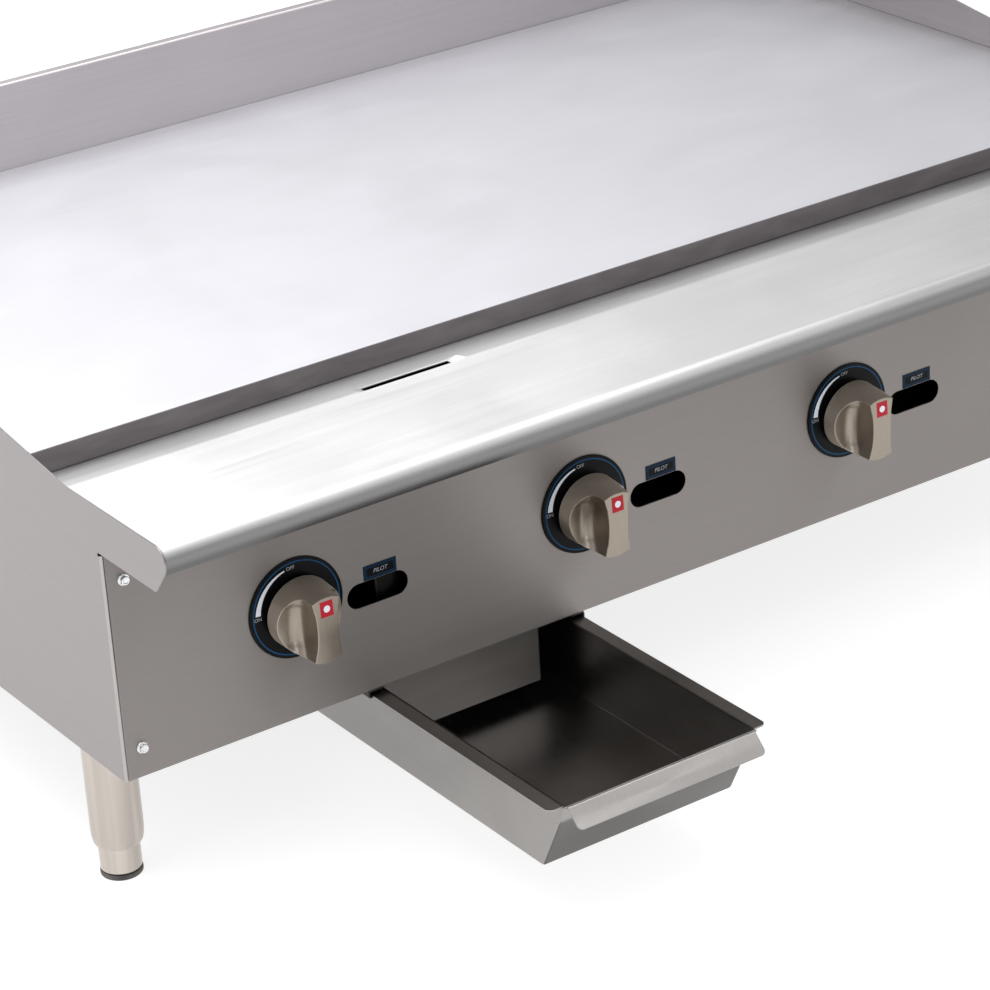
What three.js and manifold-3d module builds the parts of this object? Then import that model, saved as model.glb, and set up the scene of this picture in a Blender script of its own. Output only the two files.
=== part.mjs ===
// Countertop gas griddle, 48 inches wide, with four burners.
// Millimetres, +Z up, the cook stands on the -Y side. Within the cabinet group X = 0 is the middle
// of the width, Y = 0 is the front face of the control panel and Z = 0 is the counter. The whole
// object is then shifted along Y so that the middle of its footprint is the origin.

import * as THREE from 'three';
import { mergeVertices } from 'three/addons/utils/BufferGeometryUtils.js';
import { ConvexGeometry } from 'three/addons/geometries/ConvexGeometry.js';
import Module from 'manifold-3d';

const wasm = await Module();
wasm.setup();

// ---------------------------------------------------------------- driving sizes

const BODY_WIDTH = 1216;          // over the side panels
const CABINET_DEPTH = 735;        // front face of the control panel to the back face of the rear panel
const LEG_HEIGHT = 127;           // counter to the underside of the cabinet
const SHEET = 1.5;                // stainless sheet
const MARGIN = 1;                 // how far a cutting tool runs past the piece it cuts
const GAP = 0.3;                  // clearance between pieces that touch
const STATIONS = 4;               // burners, each with its valve, pilot and knob
const STATION_PITCH = 291.7;

const PLATE_DEPTH = 610;
const PLATE_THICKNESS = 21;
const PLATE_FRONT = 101;
const PLATE_BOTTOM = LEG_HEIGHT + 237;

const LEDGE_TOP = LEG_HEIGHT + 249.5;
const LEDGE_DROP = 2;             // fall of the ledge from the nose to the trough
const NOSE_REACH = 110;           // how far the nose stands in front of the control panel
const NOSE_RADIUS = 13;
const NOSE_FOLD = 12;             // flat fold-back under the nose
const TROUGH_FRONT = 48;          // fold where the ledge turns down into the trough
const TROUGH_TUCK = 14;           // how far the trough's sheet runs under the plate
const SPLASH_TOP = LEG_HEIGHT + 343;
const SPLASH_FOOT = LEG_HEIGHT + 208;   // lower edge of the side splashes
const SPLASH_LAP = 89;            // how far that edge runs in front of the control panel
const SPLASH_RETURN = 11;         // fold along the top of the rear splash
const FLUE_RIM = 12;              // the rear panel stops this far below the rear splash
const PANEL_INSET = 3;            // bare strip of side panel at each end of the control panel
const PANEL_RETURN = 9;           // fold along the foot of the control panel
const SIDE_RETURN = 32;           // folds of the side panels behind the front and rear panels
const PLATE_SHELF = 28;           // flange of the side panels under the plate

const KNOB_AXIS = LEG_HEIGHT + 102.3;   // height of the knob shafts
const SHAFT_HOLE = 11;            // radius of the hole round the knob shaft
const BEZEL_RADIUS = 44.6;
const BEZEL_THICKNESS = 1.5;
const KNOB_BACK = 7;              // gap from the control panel to the back of the knob
const KNOB_LENGTH = 43;
const KNOB_RADIUS = 31.5;
const KNOB_SKIRT = 14;            // thickness of the round skirt behind the grip
const KNOB_GRIP = 11;             // half the width of the grip
const STEM_RADIUS = 4;
const STEM_REACH = 28;            // how far the stem stands out of the control panel
const STEM_TAIL = 30;             // how far the stem reaches behind the control panel
const PILOT_SLOT = { offset: 79.4, drop: 11.3, width: 60, height: 22.5 };
const SCREW_EDGE = 17.7;          // panel screws, from the side of the cabinet
const SCREW_HEIGHTS = [27.4, 178.4];    // above the underside of the cabinet
const SCREW_HOLE = 2.4;

const TRAY_CENTRE = 346 - BODY_WIDTH / 2;
const TRAY_WIDTH = 192;           // over the side walls
const TRAY_FLANGE = 13.5;
const TRAY_TOP = LEG_HEIGHT - 4;
const TRAY_DEPTH = 70;
const TRAY_FRONT = -257;          // top of the sloping front wall, tray pulled out
const TRAY_BACK = 120;
const TRAY_SLOPE = 37;            // how far the front wall leans out at the top
const TRAY_TRAVEL = 225;          // from shut to where it stands
const LIP_RUN = 14;               // the folded lip, forwards and downwards
const LIP_INSET = 3;              // the lip is narrower than the tray by this at each end
const RAIL_FRONT = 2;
const RAIL_PLAY = 1.2;            // beside the tray's flange

const CHUTE = { centre: TRAY_CENTRE - 10.5, width: 162, front: 12, back: 66, drop: 57, rise: 240 };
const GREASE_SLOT = { centre: 329 - BODY_WIDTH / 2, length: 87, width: 16.5 };
const SCOOP = { spread: 10, back: 80, depth: 5, front: TROUGH_FRONT - 3 };

const LEG_INSET = { side: 25, end: 78 };
const LEG_RADIUS = 22.5;
const FOOT_RADIUS = 17.8;
const FOOT_SHOWING = 31;          // foot and pad below the leg when it is screwed right in
const PAD_HEIGHT = 5;
const FOOT_THREAD = 6;

const MANIFOLD_DEPTH = 86;        // axis of the gas pipe behind the control panel
const PIPE_RADIUS = 13.4;         // three-quarter inch pipe
const PIPE_BORE = 10.4;
const ELBOW_REACH = 28;
const BURNER_AXIS = LEG_HEIGHT + 160;
const BURNER_RADIUS = 21;
const BURNER_FRONT = 112;
const BURNER_LENGTH = 520;
const BURNER_RESTS = [50, 460];   // from the front of the burners
const PILOT_BURNER = { offset: 54, setback: 12, width: 24 };
const INLET_REACH = 35;           // gas inlet behind the rear panel
const INLET_X = BODY_WIDTH / 2 - 90;

const INNER_HALF = BODY_WIDTH / 2;
const NOSE_FRONT = -NOSE_REACH;
const PLATE_TOP = PLATE_BOTTOM + PLATE_THICKNESS;
const PLATE_BACK = PLATE_FRONT + PLATE_DEPTH;
const REAR_FACE = CABINET_DEPTH - SHEET;    // front face of the rear panel
const PANEL_TOP = LEDGE_TOP - LEDGE_DROP - SHEET - GAP;
const RETURN_TOP = LEG_HEIGHT + 203;    // top of the side panels' front returns
const RAIL_BACK = TRAY_BACK + TRAY_TRAVEL + 20;
const LIP_FRONT = TRAY_FRONT - LIP_RUN - SHEET * Math.SQRT1_2;
const INLET_END = CABINET_DEPTH + INLET_REACH;
const FOOTPRINT_MIDDLE = (LIP_FRONT + INLET_END) / 2;

// ---------------------------------------------------------------- materials

const steel = (color, roughness) => new THREE.MeshStandardMaterial({ color, roughness, metalness: 1 });
const matte = (color, roughness) => new THREE.MeshStandardMaterial({ color, roughness, metalness: 0 });

const MATERIALS = {
  plate: () => steel(0xdfe0e4, 0.25),
  brushed: () => steel(0xb4b1b0, 0.32),
  tray: () => steel(0x8d8a88, 0.4),
  dark: () => steel(0x2a2827, 0.55),
  nickel: () => steel(0xb8b0a2, 0.3),
  satin: () => steel(0xc9c2b8, 0.28),
  zinc: () => steel(0xc4c8cc, 0.3),
  brass: () => steel(0xb5954f, 0.35),
  iron: () => steel(0x4a4745, 0.7),
  black: () => matte(0x0d0e12, 0.35),
  rubber: () => matte(0x2a2928, 0.75),
};

// ---------------------------------------------------------------- shape helpers

const point = (a, b) => new THREE.Vector2(a, b);

function shapeOf(points, holes = []) {
  const shape = new THREE.Shape(points);
  for (const hole of holes) {
    shape.holes.push(new THREE.Path(hole));
  }
  return shape;
}

// Points of an arc in degrees, both ends included.
function arc(centreA, centreB, radius, from, to, steps) {
  const points = [];
  for (let i = 0; i <= steps; i += 1) {
    const angle = THREE.MathUtils.degToRad(from + ((to - from) * i) / steps);
    points.push(point(centreA + radius * Math.cos(angle), centreB + radius * Math.sin(angle)));
  }
  return points;
}

// A closed circle, or a ring of points for a hole.
const circle = (a, b, radius, steps) => arc(a, b, radius, 0, 360 - 360 / steps, steps - 1);

// A slot with round ends, its length along the first axis.
function stadium(a, b, length, height, steps) {
  const radius = height / 2;
  const reach = length / 2 - radius;
  return [
    ...arc(a + reach, b, radius, -90, 90, steps),
    ...arc(a - reach, b, radius, 90, 270, steps),
  ];
}

// The outline of a bent sheet: the given side, and the same side moved over by the thickness to
// the left of its direction, with mitred corners.
function bentSheet(side, thickness = SHEET) {
  const normal = (p, q) => point(p.y - q.y, q.x - p.x).normalize();
  const moved = side.map((p, i) => {
    const before = normal(side[Math.max(i - 1, 0)], side[Math.max(i, 1)]);
    const last = side.length - 1;
    const after = normal(side[Math.min(i, last - 1)], side[Math.min(i + 1, last)]);
    const mitre = before.clone().add(after).normalize();
    return p.clone().addScaledVector(mitre, thickness / mitre.dot(before));
  });
  return [...side, ...moved.reverse()];
}

function extrude(shape, depth) {
  return new THREE.ExtrudeGeometry(shape, { depth, bevelEnabled: false, curveSegments: 8 });
}

// An outline in (Y, Z) drawn out along X.
function alongX(points, x0, x1, holes) {
  const basis = new THREE.Matrix4().makeBasis(
    new THREE.Vector3(0, 1, 0),
    new THREE.Vector3(0, 0, 1),
    new THREE.Vector3(1, 0, 0),
  );
  return extrude(shapeOf(points, holes), x1 - x0).applyMatrix4(basis).translate(x0, 0, 0);
}

// An outline in (X, Z) drawn out along Y.
function alongY(points, y0, y1, holes) {
  return extrude(shapeOf(points, holes), y1 - y0).rotateX(Math.PI / 2).translate(0, y1, 0);
}

// An outline in (X, Y) drawn out along Z.
function alongZ(points, z0, z1, holes) {
  return extrude(shapeOf(points, holes), z1 - z0).translate(0, 0, z0);
}

function box(x0, x1, y0, y1, z0, z1) {
  const geometry = new THREE.BoxGeometry(x1 - x0, y1 - y0, z1 - z0);
  return geometry.translate((x0 + x1) / 2, (y0 + y1) / 2, (z0 + z1) / 2);
}

// A body turned about the vertical axis. The profile holds [radius, height] pairs, going upwards
// on the outside.
function turned(profile, segments) {
  const points = profile.map(([radius, height]) => point(radius, height));
  return new THREE.LatheGeometry(points, segments).rotateX(Math.PI / 2);
}

// The same, about an axis along Y. The heights become distances towards the cook.
const turnedForwards = (profile, segments) => turned(profile, segments).rotateX(Math.PI / 2);

function solid(geometry) {
  const bare = geometry.clone();
  bare.deleteAttribute('normal');
  bare.deleteAttribute('uv');
  const merged = mergeVertices(bare, 1e-4);
  return new wasm.Manifold(new wasm.Mesh({
    numProp: 3,
    vertProperties: new Float32Array(merged.attributes.position.array),
    triVerts: new Uint32Array(merged.index.array),
  }));
}

function geometryOf(body) {
  const mesh = body.getMesh();
  const geometry = new THREE.BufferGeometry();
  geometry.setAttribute('position', new THREE.BufferAttribute(mesh.vertProperties, 3));
  geometry.setIndex(new THREE.BufferAttribute(mesh.triVerts, 1));
  geometry.computeVertexNormals();
  return geometry;
}

const join = (...parts) => geometryOf(parts.map(solid).reduce((a, b) => a.add(b)));

function cut(body, ...tools) {
  return geometryOf(tools.reduce((rest, tool) => rest.subtract(solid(tool)), solid(body)));
}

// Turns a shape made for the left side into the one for the right side.
function mirrored(geometry) {
  const flipped = geometry.index ? geometry.toNonIndexed() : geometry.clone();
  flipped.scale(-1, 1, 1);
  const { array } = flipped.attributes.position;
  for (let i = 0; i < array.length; i += 9) {
    for (let k = 0; k < 3; k += 1) {
      [array[i + 3 + k], array[i + 6 + k]] = [array[i + 6 + k], array[i + 3 + k]];
    }
  }
  flipped.computeVertexNormals();
  return flipped;
}

// ---------------------------------------------------------------- plate, splashes and ledge

function griddlePlate() {
  return box(-INNER_HALF, INNER_HALF, PLATE_FRONT, PLATE_BACK, PLATE_BOTTOM, PLATE_TOP);
}

// The sheet behind the plate, with a narrow return along its top.
function rearSplash() {
  const face = PLATE_BACK + GAP;
  const side = [
    point(face + SPLASH_RETURN, SPLASH_TOP),
    point(face, SPLASH_TOP),
    point(face, PLATE_BOTTOM),
  ];
  return alongX(bentSheet(side), -INNER_HALF, INNER_HALF);
}

// One sheet closes the end of the ledge, is the side splash beside the plate and laps over the
// side panel. It lies just outside the cabinet.
function sideSplash() {
  const noseY = NOSE_FRONT + NOSE_RADIUS;
  const noseZ = LEDGE_TOP - NOSE_RADIUS;
  const proud = NOSE_RADIUS + 0.5;
  const lipAngle = 216;
  const corner = 5;
  const outline = [
    point(CABINET_DEPTH, SPLASH_TOP),
    point(PLATE_BACK, SPLASH_TOP),
    point(TROUGH_FRONT - 4, LEDGE_TOP + 0.5),
    ...arc(noseY, noseZ, proud, 90, lipAngle, 10),
    ...arc(-SPLASH_LAP, SPLASH_FOOT + corner, corner, lipAngle, 270, 4),
    point(CABINET_DEPTH, SPLASH_FOOT),
  ];
  return alongX(outline, -INNER_HALF - GAP - SHEET, -INNER_HALF - GAP);
}

// Height of the trough's surface at a distance behind the control panel.
function troughHeight(y) {
  const start = LEDGE_TOP - LEDGE_DROP;
  const end = PLATE_BOTTOM - GAP;
  return start + ((end - start) * (y - TROUGH_FRONT)) / (PLATE_FRONT - TROUGH_FRONT);
}

// Rolled nose, wide ledge, and the trough that falls towards the plate's foot and tucks under it.
function ledgeSheet() {
  const noseY = NOSE_FRONT + NOSE_RADIUS;
  const noseZ = LEDGE_TOP - NOSE_RADIUS;
  const roll = arc(noseY, noseZ, NOSE_RADIUS, 230, 90, 12);
  const side = [
    point(roll[0].x + NOSE_FOLD, roll[0].y),
    ...roll,
    point(TROUGH_FRONT, LEDGE_TOP - LEDGE_DROP),
    point(PLATE_FRONT - 1, troughHeight(PLATE_FRONT)),
    point(PLATE_FRONT + TROUGH_TUCK, troughHeight(PLATE_FRONT)),
  ];
  return alongX(bentSheet(side.reverse()), -INNER_HALF, INNER_HALF);
}

// The pressed scoop in the trough, with the slot that lets grease into the chute.
function ledge() {
  const { centre, length, width } = GREASE_SLOT;
  const { spread, back, depth, front } = SCOOP;
  const narrow = length / 2;
  const wide = narrow + spread;
  const floor = troughHeight(TROUGH_FRONT) - depth;
  const floorBack = front + width + 3;
  const above = LEDGE_TOP + 3;
  const inSheet = SHEET / 2;
  const under = [
    point(front - SHEET, troughHeight(TROUGH_FRONT) - inSheet),
    point(front - SHEET, floor - SHEET),
    point(floorBack + 2, floor - SHEET),
    point(back + 4, troughHeight(back + 4) - inSheet),
    point(TROUGH_FRONT, troughHeight(TROUGH_FRONT) - inSheet),
  ];
  const pressing = alongX(under, centre - wide - SHEET, centre + wide + SHEET);
  const corners = [];
  for (const side of [-1, 1]) {
    const outer = centre + side * wide;
    const inner = centre + side * narrow;
    corners.push(new THREE.Vector3(outer, back, troughHeight(back)));
    corners.push(new THREE.Vector3(outer, back, above));
    corners.push(new THREE.Vector3(outer, front, above));
    corners.push(new THREE.Vector3(outer, front, troughHeight(TROUGH_FRONT)));
    corners.push(new THREE.Vector3(inner, front, floor));
    corners.push(new THREE.Vector3(inner, floorBack, floor));
  }
  const scoop = new ConvexGeometry(corners);
  const slot = box(
    centre - narrow, centre + narrow, front, front + width, floor - 3 * SHEET, floor + SHEET,
  );
  return cut(join(ledgeSheet(), pressing), scoop, slot);
}

// ---------------------------------------------------------------- cabinet

const stationX = (index) => (index - (STATIONS - 1) / 2) * STATION_PITCH;

// Hole through a sheet that lies between the front face and a few sheets behind it.
const throughPanel = (outline) => alongY(outline, -MARGIN, 2 * SHEET + MARGIN);

const screwHole = (x, height) => throughPanel(circle(x, LEG_HEIGHT + height, SCREW_HOLE, 10));

function controlPanel() {
  const edge = INNER_HALF - PANEL_INSET;
  const side = [point(0, PANEL_TOP), point(0, LEG_HEIGHT), point(PANEL_RETURN, LEG_HEIGHT)];
  const sheet = alongX(bentSheet(side), -edge, edge);
  const slotHeight = KNOB_AXIS - PILOT_SLOT.drop;
  const tools = [];
  for (let i = 0; i < STATIONS; i += 1) {
    const x = stationX(i);
    const slotX = x + PILOT_SLOT.offset;
    tools.push(throughPanel(circle(x, KNOB_AXIS, SHAFT_HOLE, 16)));
    tools.push(throughPanel(stadium(slotX, slotHeight, PILOT_SLOT.width, PILOT_SLOT.height, 8)));
  }
  const notch = SIDE_RETURN + 2;
  for (const hand of [-1, 1]) {
    const end = hand * INNER_HALF;
    for (const height of SCREW_HEIGHTS) {
      tools.push(screwHole(end - hand * SCREW_EDGE, height));
    }
    tools.push(box(
      end - notch, end + notch, SHEET, PANEL_RETURN + MARGIN, LEG_HEIGHT - MARGIN,
      LEG_HEIGHT + SHEET + MARGIN,
    ));
  }
  return cut(sheet, ...tools);
}

// Side wall with returns behind the control panel and in front of the rear panel, and a flange
// along the top that carries the plate.
function sidePanel() {
  const outer = -INNER_HALF;
  const front = SHEET + GAP;
  const rear = REAR_FACE - GAP;
  const top = PLATE_BOTTOM - SHEET - 2 * GAP;
  const channel = [
    point(outer + SIDE_RETURN, rear),
    point(outer, rear),
    point(outer, front),
    point(outer + SIDE_RETURN, front),
  ];
  const wall = alongZ(bentSheet(channel), LEG_HEIGHT, top);
  const shelf = box(outer, outer + PLATE_SHELF, PLATE_FRONT + 2, PLATE_BACK - 2, top - SHEET, top);
  const relief = box(
    outer - MARGIN, outer + SIDE_RETURN + MARGIN, 0, front + SHEET + GAP, RETURN_TOP, top + MARGIN,
  );
  const holes = SCREW_HEIGHTS.map((height) => screwHole(outer + SCREW_EDGE, height));
  return cut(join(wall, shelf), relief, ...holes);
}

// Tool that clears a sheet at distance y for the gas inlet pipe.
const pipeHole = (y) => alongY(
  circle(INLET_X, KNOB_AXIS, PIPE_RADIUS + 2, 16), y - MARGIN, y + SHEET + MARGIN,
);

function rearPanel() {
  const top = SPLASH_TOP - FLUE_RIM;
  const sheet = box(-INNER_HALF, INNER_HALF, REAR_FACE, CABINET_DEPTH, LEG_HEIGHT, top);
  return cut(sheet, pipeHole(REAR_FACE));
}

function basePan() {
  const edge = INNER_HALF - SHEET - GAP;
  const rear = REAR_FACE - SHEET - 2 * GAP;
  const top = LEG_HEIGHT + SHEET;
  const pan = box(-edge, edge, PANEL_RETURN + GAP, rear, LEG_HEIGHT, top);
  const { centre, width, back } = CHUTE;
  const half = width / 2 + 1;
  const notch = box(
    centre - half, centre + half, 0, back + 1, LEG_HEIGHT - MARGIN, top + MARGIN,
  );
  return cut(pan, notch);
}

// ---------------------------------------------------------------- grease chute, rails and tray

// Open duct from under the grease slot down into the tray.
function greaseChute() {
  const { centre, width, front, back, drop, rise } = CHUTE;
  const half = width / 2;
  const outline = [
    point(centre - half, front),
    point(centre + half, front),
    point(centre + half, back),
    point(centre - half, back),
  ];
  const inside = [
    point(centre - half + SHEET, front + SHEET),
    point(centre - half + SHEET, back - SHEET),
    point(centre + half - SHEET, back - SHEET),
    point(centre + half - SHEET, front + SHEET),
  ];
  return alongZ(outline, LEG_HEIGHT - drop, LEG_HEIGHT + rise, [inside]);
}

// Channel that the tray's flange slides in, open towards the tray. This is the right-hand one.
function trayRail() {
  const web = TRAY_WIDTH / 2 + TRAY_FLANGE + RAIL_PLAY;
  const upper = 13;
  const lower = 11;
  const foot = TRAY_TOP - 2 * SHEET - GAP;
  const side = [
    point(web - lower, foot),
    point(web + SHEET, foot),
    point(web + SHEET, LEG_HEIGHT - GAP),
    point(web - upper, LEG_HEIGHT - GAP),
  ];
  return alongY(bentSheet(side), RAIL_FRONT, RAIL_BACK);
}

// Open tray with a sloping front wall, side flanges and a folded lip to pull it by.
function dripTray() {
  const half = TRAY_WIDTH / 2;
  const bottom = TRAY_TOP - TRAY_DEPTH;
  const lean = TRAY_SLOPE / TRAY_DEPTH;
  const slant = SHEET * Math.hypot(1, lean);
  const tub = [
    point(TRAY_FRONT, TRAY_TOP),
    point(TRAY_FRONT + TRAY_SLOPE, bottom),
    point(TRAY_BACK, bottom),
    point(TRAY_BACK, TRAY_TOP),
  ];
  const inner = [
    point(TRAY_FRONT + slant - MARGIN * lean, TRAY_TOP + MARGIN),
    point(TRAY_FRONT + TRAY_SLOPE + slant - SHEET * lean, bottom + SHEET),
    point(TRAY_BACK - SHEET, bottom + SHEET),
    point(TRAY_BACK - SHEET, TRAY_TOP + MARGIN),
  ];
  const shell = cut(alongX(tub, -half, half), alongX(inner, -half + SHEET, half - SHEET));
  const corner = 6;
  const flangeFront = TRAY_FRONT + 4;
  const reach = half + TRAY_FLANGE;
  const flange = alongZ([
    point(half - SHEET, flangeFront),
    ...arc(reach - corner, flangeFront + corner, corner, -90, 0, 5),
    point(reach, TRAY_BACK),
    point(half - SHEET, TRAY_BACK),
  ], TRAY_TOP - SHEET, TRAY_TOP);
  const lipSide = [
    point(TRAY_FRONT - LIP_RUN, TRAY_TOP - LIP_RUN - SHEET),
    point(TRAY_FRONT, TRAY_TOP - SHEET),
    point(TRAY_FRONT + 3, TRAY_TOP - SHEET),
  ];
  const lip = alongX(bentSheet(lipSide), -half + LIP_INSET, half - LIP_INSET);
  return join(shell, flange, mirrored(flange), lip);
}

// ---------------------------------------------------------------- gas parts

// Pipe behind the control panel that feeds the valves: capped on the left, open to the elbow.
function manifoldPipe() {
  const left = stationX(0) - 40;
  const length = INLET_X - ELBOW_REACH - GAP - left;
  const cap = 4;
  const profile = [
    [0, 0], [PIPE_RADIUS, 0], [PIPE_RADIUS, length], [PIPE_BORE, length], [PIPE_BORE, cap], [0, cap],
  ];
  return turned(profile, 16).rotateY(Math.PI / 2).translate(left, MANIFOLD_DEPTH, 0);
}

// A rod about the vertical axis, from z = 0 upwards.
const rod = (radius, length, segments) => (
  turned([[0, 0], [radius, 0], [radius, length], [0, length]], segments)
);

function inletElbow() {
  const collar = PIPE_RADIUS + 4;
  const arm = rod(collar, ELBOW_REACH, 16);
  const passage = rod(PIPE_BORE, ELBOW_REACH + MARGIN, 12);
  const arms = [arm.clone().rotateY(-Math.PI / 2), arm.clone().rotateX(-Math.PI / 2)];
  const bores = [passage.clone().rotateY(-Math.PI / 2), passage.clone().rotateX(-Math.PI / 2)];
  const corner = new THREE.SphereGeometry(collar, 16, 8);
  const hollow = new THREE.SphereGeometry(PIPE_BORE, 12, 6);
  return cut(join(...arms, corner), ...bores, hollow);
}

// Straight pipe from the elbow out through the rear panel.
function inletPipe() {
  const start = MANIFOLD_DEPTH + ELBOW_REACH + GAP;
  return alongY(circle(0, 0, PIPE_RADIUS, 20), start, INLET_END, [circle(0, 0, PIPE_BORE, 20)]);
}

// Valve body on the front of the manifold, with the orifice arm that feeds the burner.
function gasValve() {
  const nose = 18;
  const shoulder = nose + 16;
  const back = MANIFOLD_DEPTH - PIPE_RADIUS - GAP;
  const tip = BURNER_FRONT - 4;
  const rise = BURNER_AXIS - KNOB_AXIS;
  const boss = turnedForwards([[0, -back], [12, -back], [12, -shoulder], [9, -nose], [0, -nose]], 16);
  const block = box(-15, 15, nose + 14, back, -14, 15);
  const riser = box(-9, 9, back - 22, back, 10, rise + 8);
  const orifice = turnedForwards([[0, -tip], [4, -tip], [7, -back], [0, -back + 4]], 12);
  const bore = rod(STEM_RADIUS + GAP, STEM_TAIL + MARGIN, 14)
    .rotateX(Math.PI / 2)
    .translate(0, STEM_TAIL + MARGIN, 0);
  return cut(join(boss, block, riser, orifice.translate(0, 0, rise)), bore);
}

// Tube burner with an open bell mouth at the front and a blind end at the back.
function burner() {
  const wall = 2.5;
  const throat = 30;
  const mouth = BURNER_RADIUS + 7;
  const inner = BURNER_RADIUS - wall;
  const length = BURNER_LENGTH;
  return turnedForwards([
    [0, -length], [BURNER_RADIUS, -length], [BURNER_RADIUS, -throat], [mouth, 0],
    [mouth - wall, 0], [inner, -throat], [inner, wall - length], [0, wall - length],
  ], 16);
}

// Angle across the cabinet that carries the burners in round notches.
function burnerRest() {
  const half = INNER_HALF - SHEET - 2;
  const base = LEG_HEIGHT + SHEET + GAP;
  const top = BURNER_AXIS + 6;
  const seat = BURNER_RADIUS + 1;
  const angle = alongX(bentSheet([point(0, top), point(0, base), point(20, base)]), -half, half);
  const notches = [pipeHole(0)];
  for (let i = 0; i < STATIONS; i += 1) {
    const x = stationX(i);
    notches.push(alongY(circle(x, BURNER_AXIS, seat, 16), -MARGIN, SHEET + MARGIN));
    notches.push(box(x - seat, x + seat, -MARGIN, SHEET + MARGIN, BURNER_AXIS, top + MARGIN));
  }
  return cut(angle, ...notches);
}

// Pilot burner: a hooded tube beside the burner's throat, lit through the slot in the panel.
function pilotBurner() {
  const half = PILOT_BURNER.width / 2;
  const floor = LEG_HEIGHT + SHEET + GAP - KNOB_AXIS;
  const bracketTop = 50;
  const tube = rod(4, bracketTop - 4, 10);
  const hood = box(-half, half, -7, 7, bracketTop - 10, bracketTop + 6);
  const bracket = box(-half, half, 3, 3 + SHEET, floor, bracketTop);
  const foot = box(-half, half, 3, 22, floor, floor + SHEET);
  return join(tube, hood, bracket, foot);
}

// ---------------------------------------------------------------- knobs, dials and fasteners

function knobBezel() {
  const back = GAP;
  const front = GAP + BEZEL_THICKNESS;
  return turnedForwards([
    [SHAFT_HOLE, back], [BEZEL_RADIUS, back], [BEZEL_RADIUS, front], [SHAFT_HOLE, front],
    [SHAFT_HOLE, back],
  ], 36);
}

// Round skirt with a scoop down each side, which leaves an upright grip across the front.
function knob() {
  const back = KNOB_BACK;
  const front = KNOB_BACK + KNOB_LENGTH;
  const boreEnd = STEM_REACH + 1;
  const bore = STEM_RADIUS + GAP;
  const tip = KNOB_RADIUS - 3.5;
  const edge = 2;
  const blank = turnedForwards([
    [bore, back], [KNOB_RADIUS, back], [tip, front - edge], [tip - edge, front], [0, front],
    [0, boreEnd], [bore, boreEnd], [bore, back],
  ], 32);
  const floor = -(KNOB_BACK + KNOB_SKIRT);
  const fillet = 10;
  const beyond = KNOB_RADIUS + 2;
  const scoop = [
    point(KNOB_GRIP, -front - MARGIN),
    point(beyond, -front - MARGIN),
    point(beyond, floor),
    ...arc(KNOB_GRIP + fillet, floor - fillet, fillet, 90, 180, 6),
  ];
  const right = alongZ(scoop, -beyond, beyond);
  return cut(blank, right, mirrored(right));
}

function valveStem() {
  return rod(STEM_RADIUS, STEM_TAIL + STEM_REACH, 14).rotateX(Math.PI / 2).translate(0, STEM_TAIL, 0);
}

// Hexagon screw with a washer face, through the control panel and the side panel's return.
function panelScrew() {
  const shank = SCREW_HOLE - 0.4;
  const tail = -8;
  const face = 1.6;
  const top = 4.6;
  const washer = turnedForwards([
    [0, tail], [shank, tail], [shank, GAP], [5.4, GAP], [5.2, face], [0, face],
  ], 14);
  const head = turnedForwards([[0, face - 0.5], [3.9, face - 0.5], [3.9, 4], [3.2, top], [0, top]], 6);
  return join(washer, head);
}

// ---------------------------------------------------------------- legs

// Hollow leg with a rounded lower shoulder. Its bore takes the foot and the foot's thread.
function leg() {
  const bottom = FOOT_SHOWING;
  const top = LEG_HEIGHT - GAP;
  const mouth = FOOT_RADIUS + 0.4;
  const neck = mouth + 1.8;
  const shoulder = 16;
  const steps = 4;
  const curve = [];
  for (let i = 0; i <= steps; i += 1) {
    const angle = (i / steps) * (Math.PI / 2);
    const radius = neck + (LEG_RADIUS - neck) * Math.sin(angle);
    curve.push([radius, bottom + shoulder * (1 - Math.cos(angle))]);
  }
  const boreTop = bottom + 42;
  const threadTop = top - 8;
  const thread = FOOT_THREAD + 0.5;
  return turned([
    [mouth, bottom], ...curve, [LEG_RADIUS, top], [0, top], [0, threadTop],
    [thread, threadTop], [thread, boreTop], [mouth, boreTop], [mouth, bottom],
  ], 28);
}

function foot() {
  const sleeveTop = FOOT_SHOWING + 38;
  const threadTop = LEG_HEIGHT - 14;
  const base = PAD_HEIGHT + GAP;
  return turned([
    [0, base], [FOOT_RADIUS - 1, base], [FOOT_RADIUS, base + 1.5], [FOOT_RADIUS, sleeveTop],
    [FOOT_THREAD, sleeveTop], [FOOT_THREAD, threadTop], [0, threadTop],
  ], 28);
}

function footPad() {
  const radius = FOOT_RADIUS + 0.4;
  return turned([[0, 0], [radius - 0.8, 0], [radius, 1], [radius, PAD_HEIGHT], [0, PAD_HEIGHT]], 28);
}

// ---------------------------------------------------------------- assembly

const griddle = new THREE.Group();
griddle.position.y = -FOOTPRINT_MIDDLE;

function place(parent, name, geometry, material, x = 0, y = 0, z = 0) {
  const mesh = new THREE.Mesh(geometry, MATERIALS[material]());
  mesh.name = name;
  mesh.position.set(x, y, z);
  parent.add(mesh);
}

function addTop() {
  place(griddle, 'griddle_plate', griddlePlate(), 'plate');
  place(griddle, 'splash_rear', rearSplash(), 'brushed');
  place(griddle, 'splash_left', sideSplash(), 'brushed');
  place(griddle, 'splash_right', mirrored(sideSplash()), 'brushed');
  place(griddle, 'front_ledge', ledge(), 'brushed');
}

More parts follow.
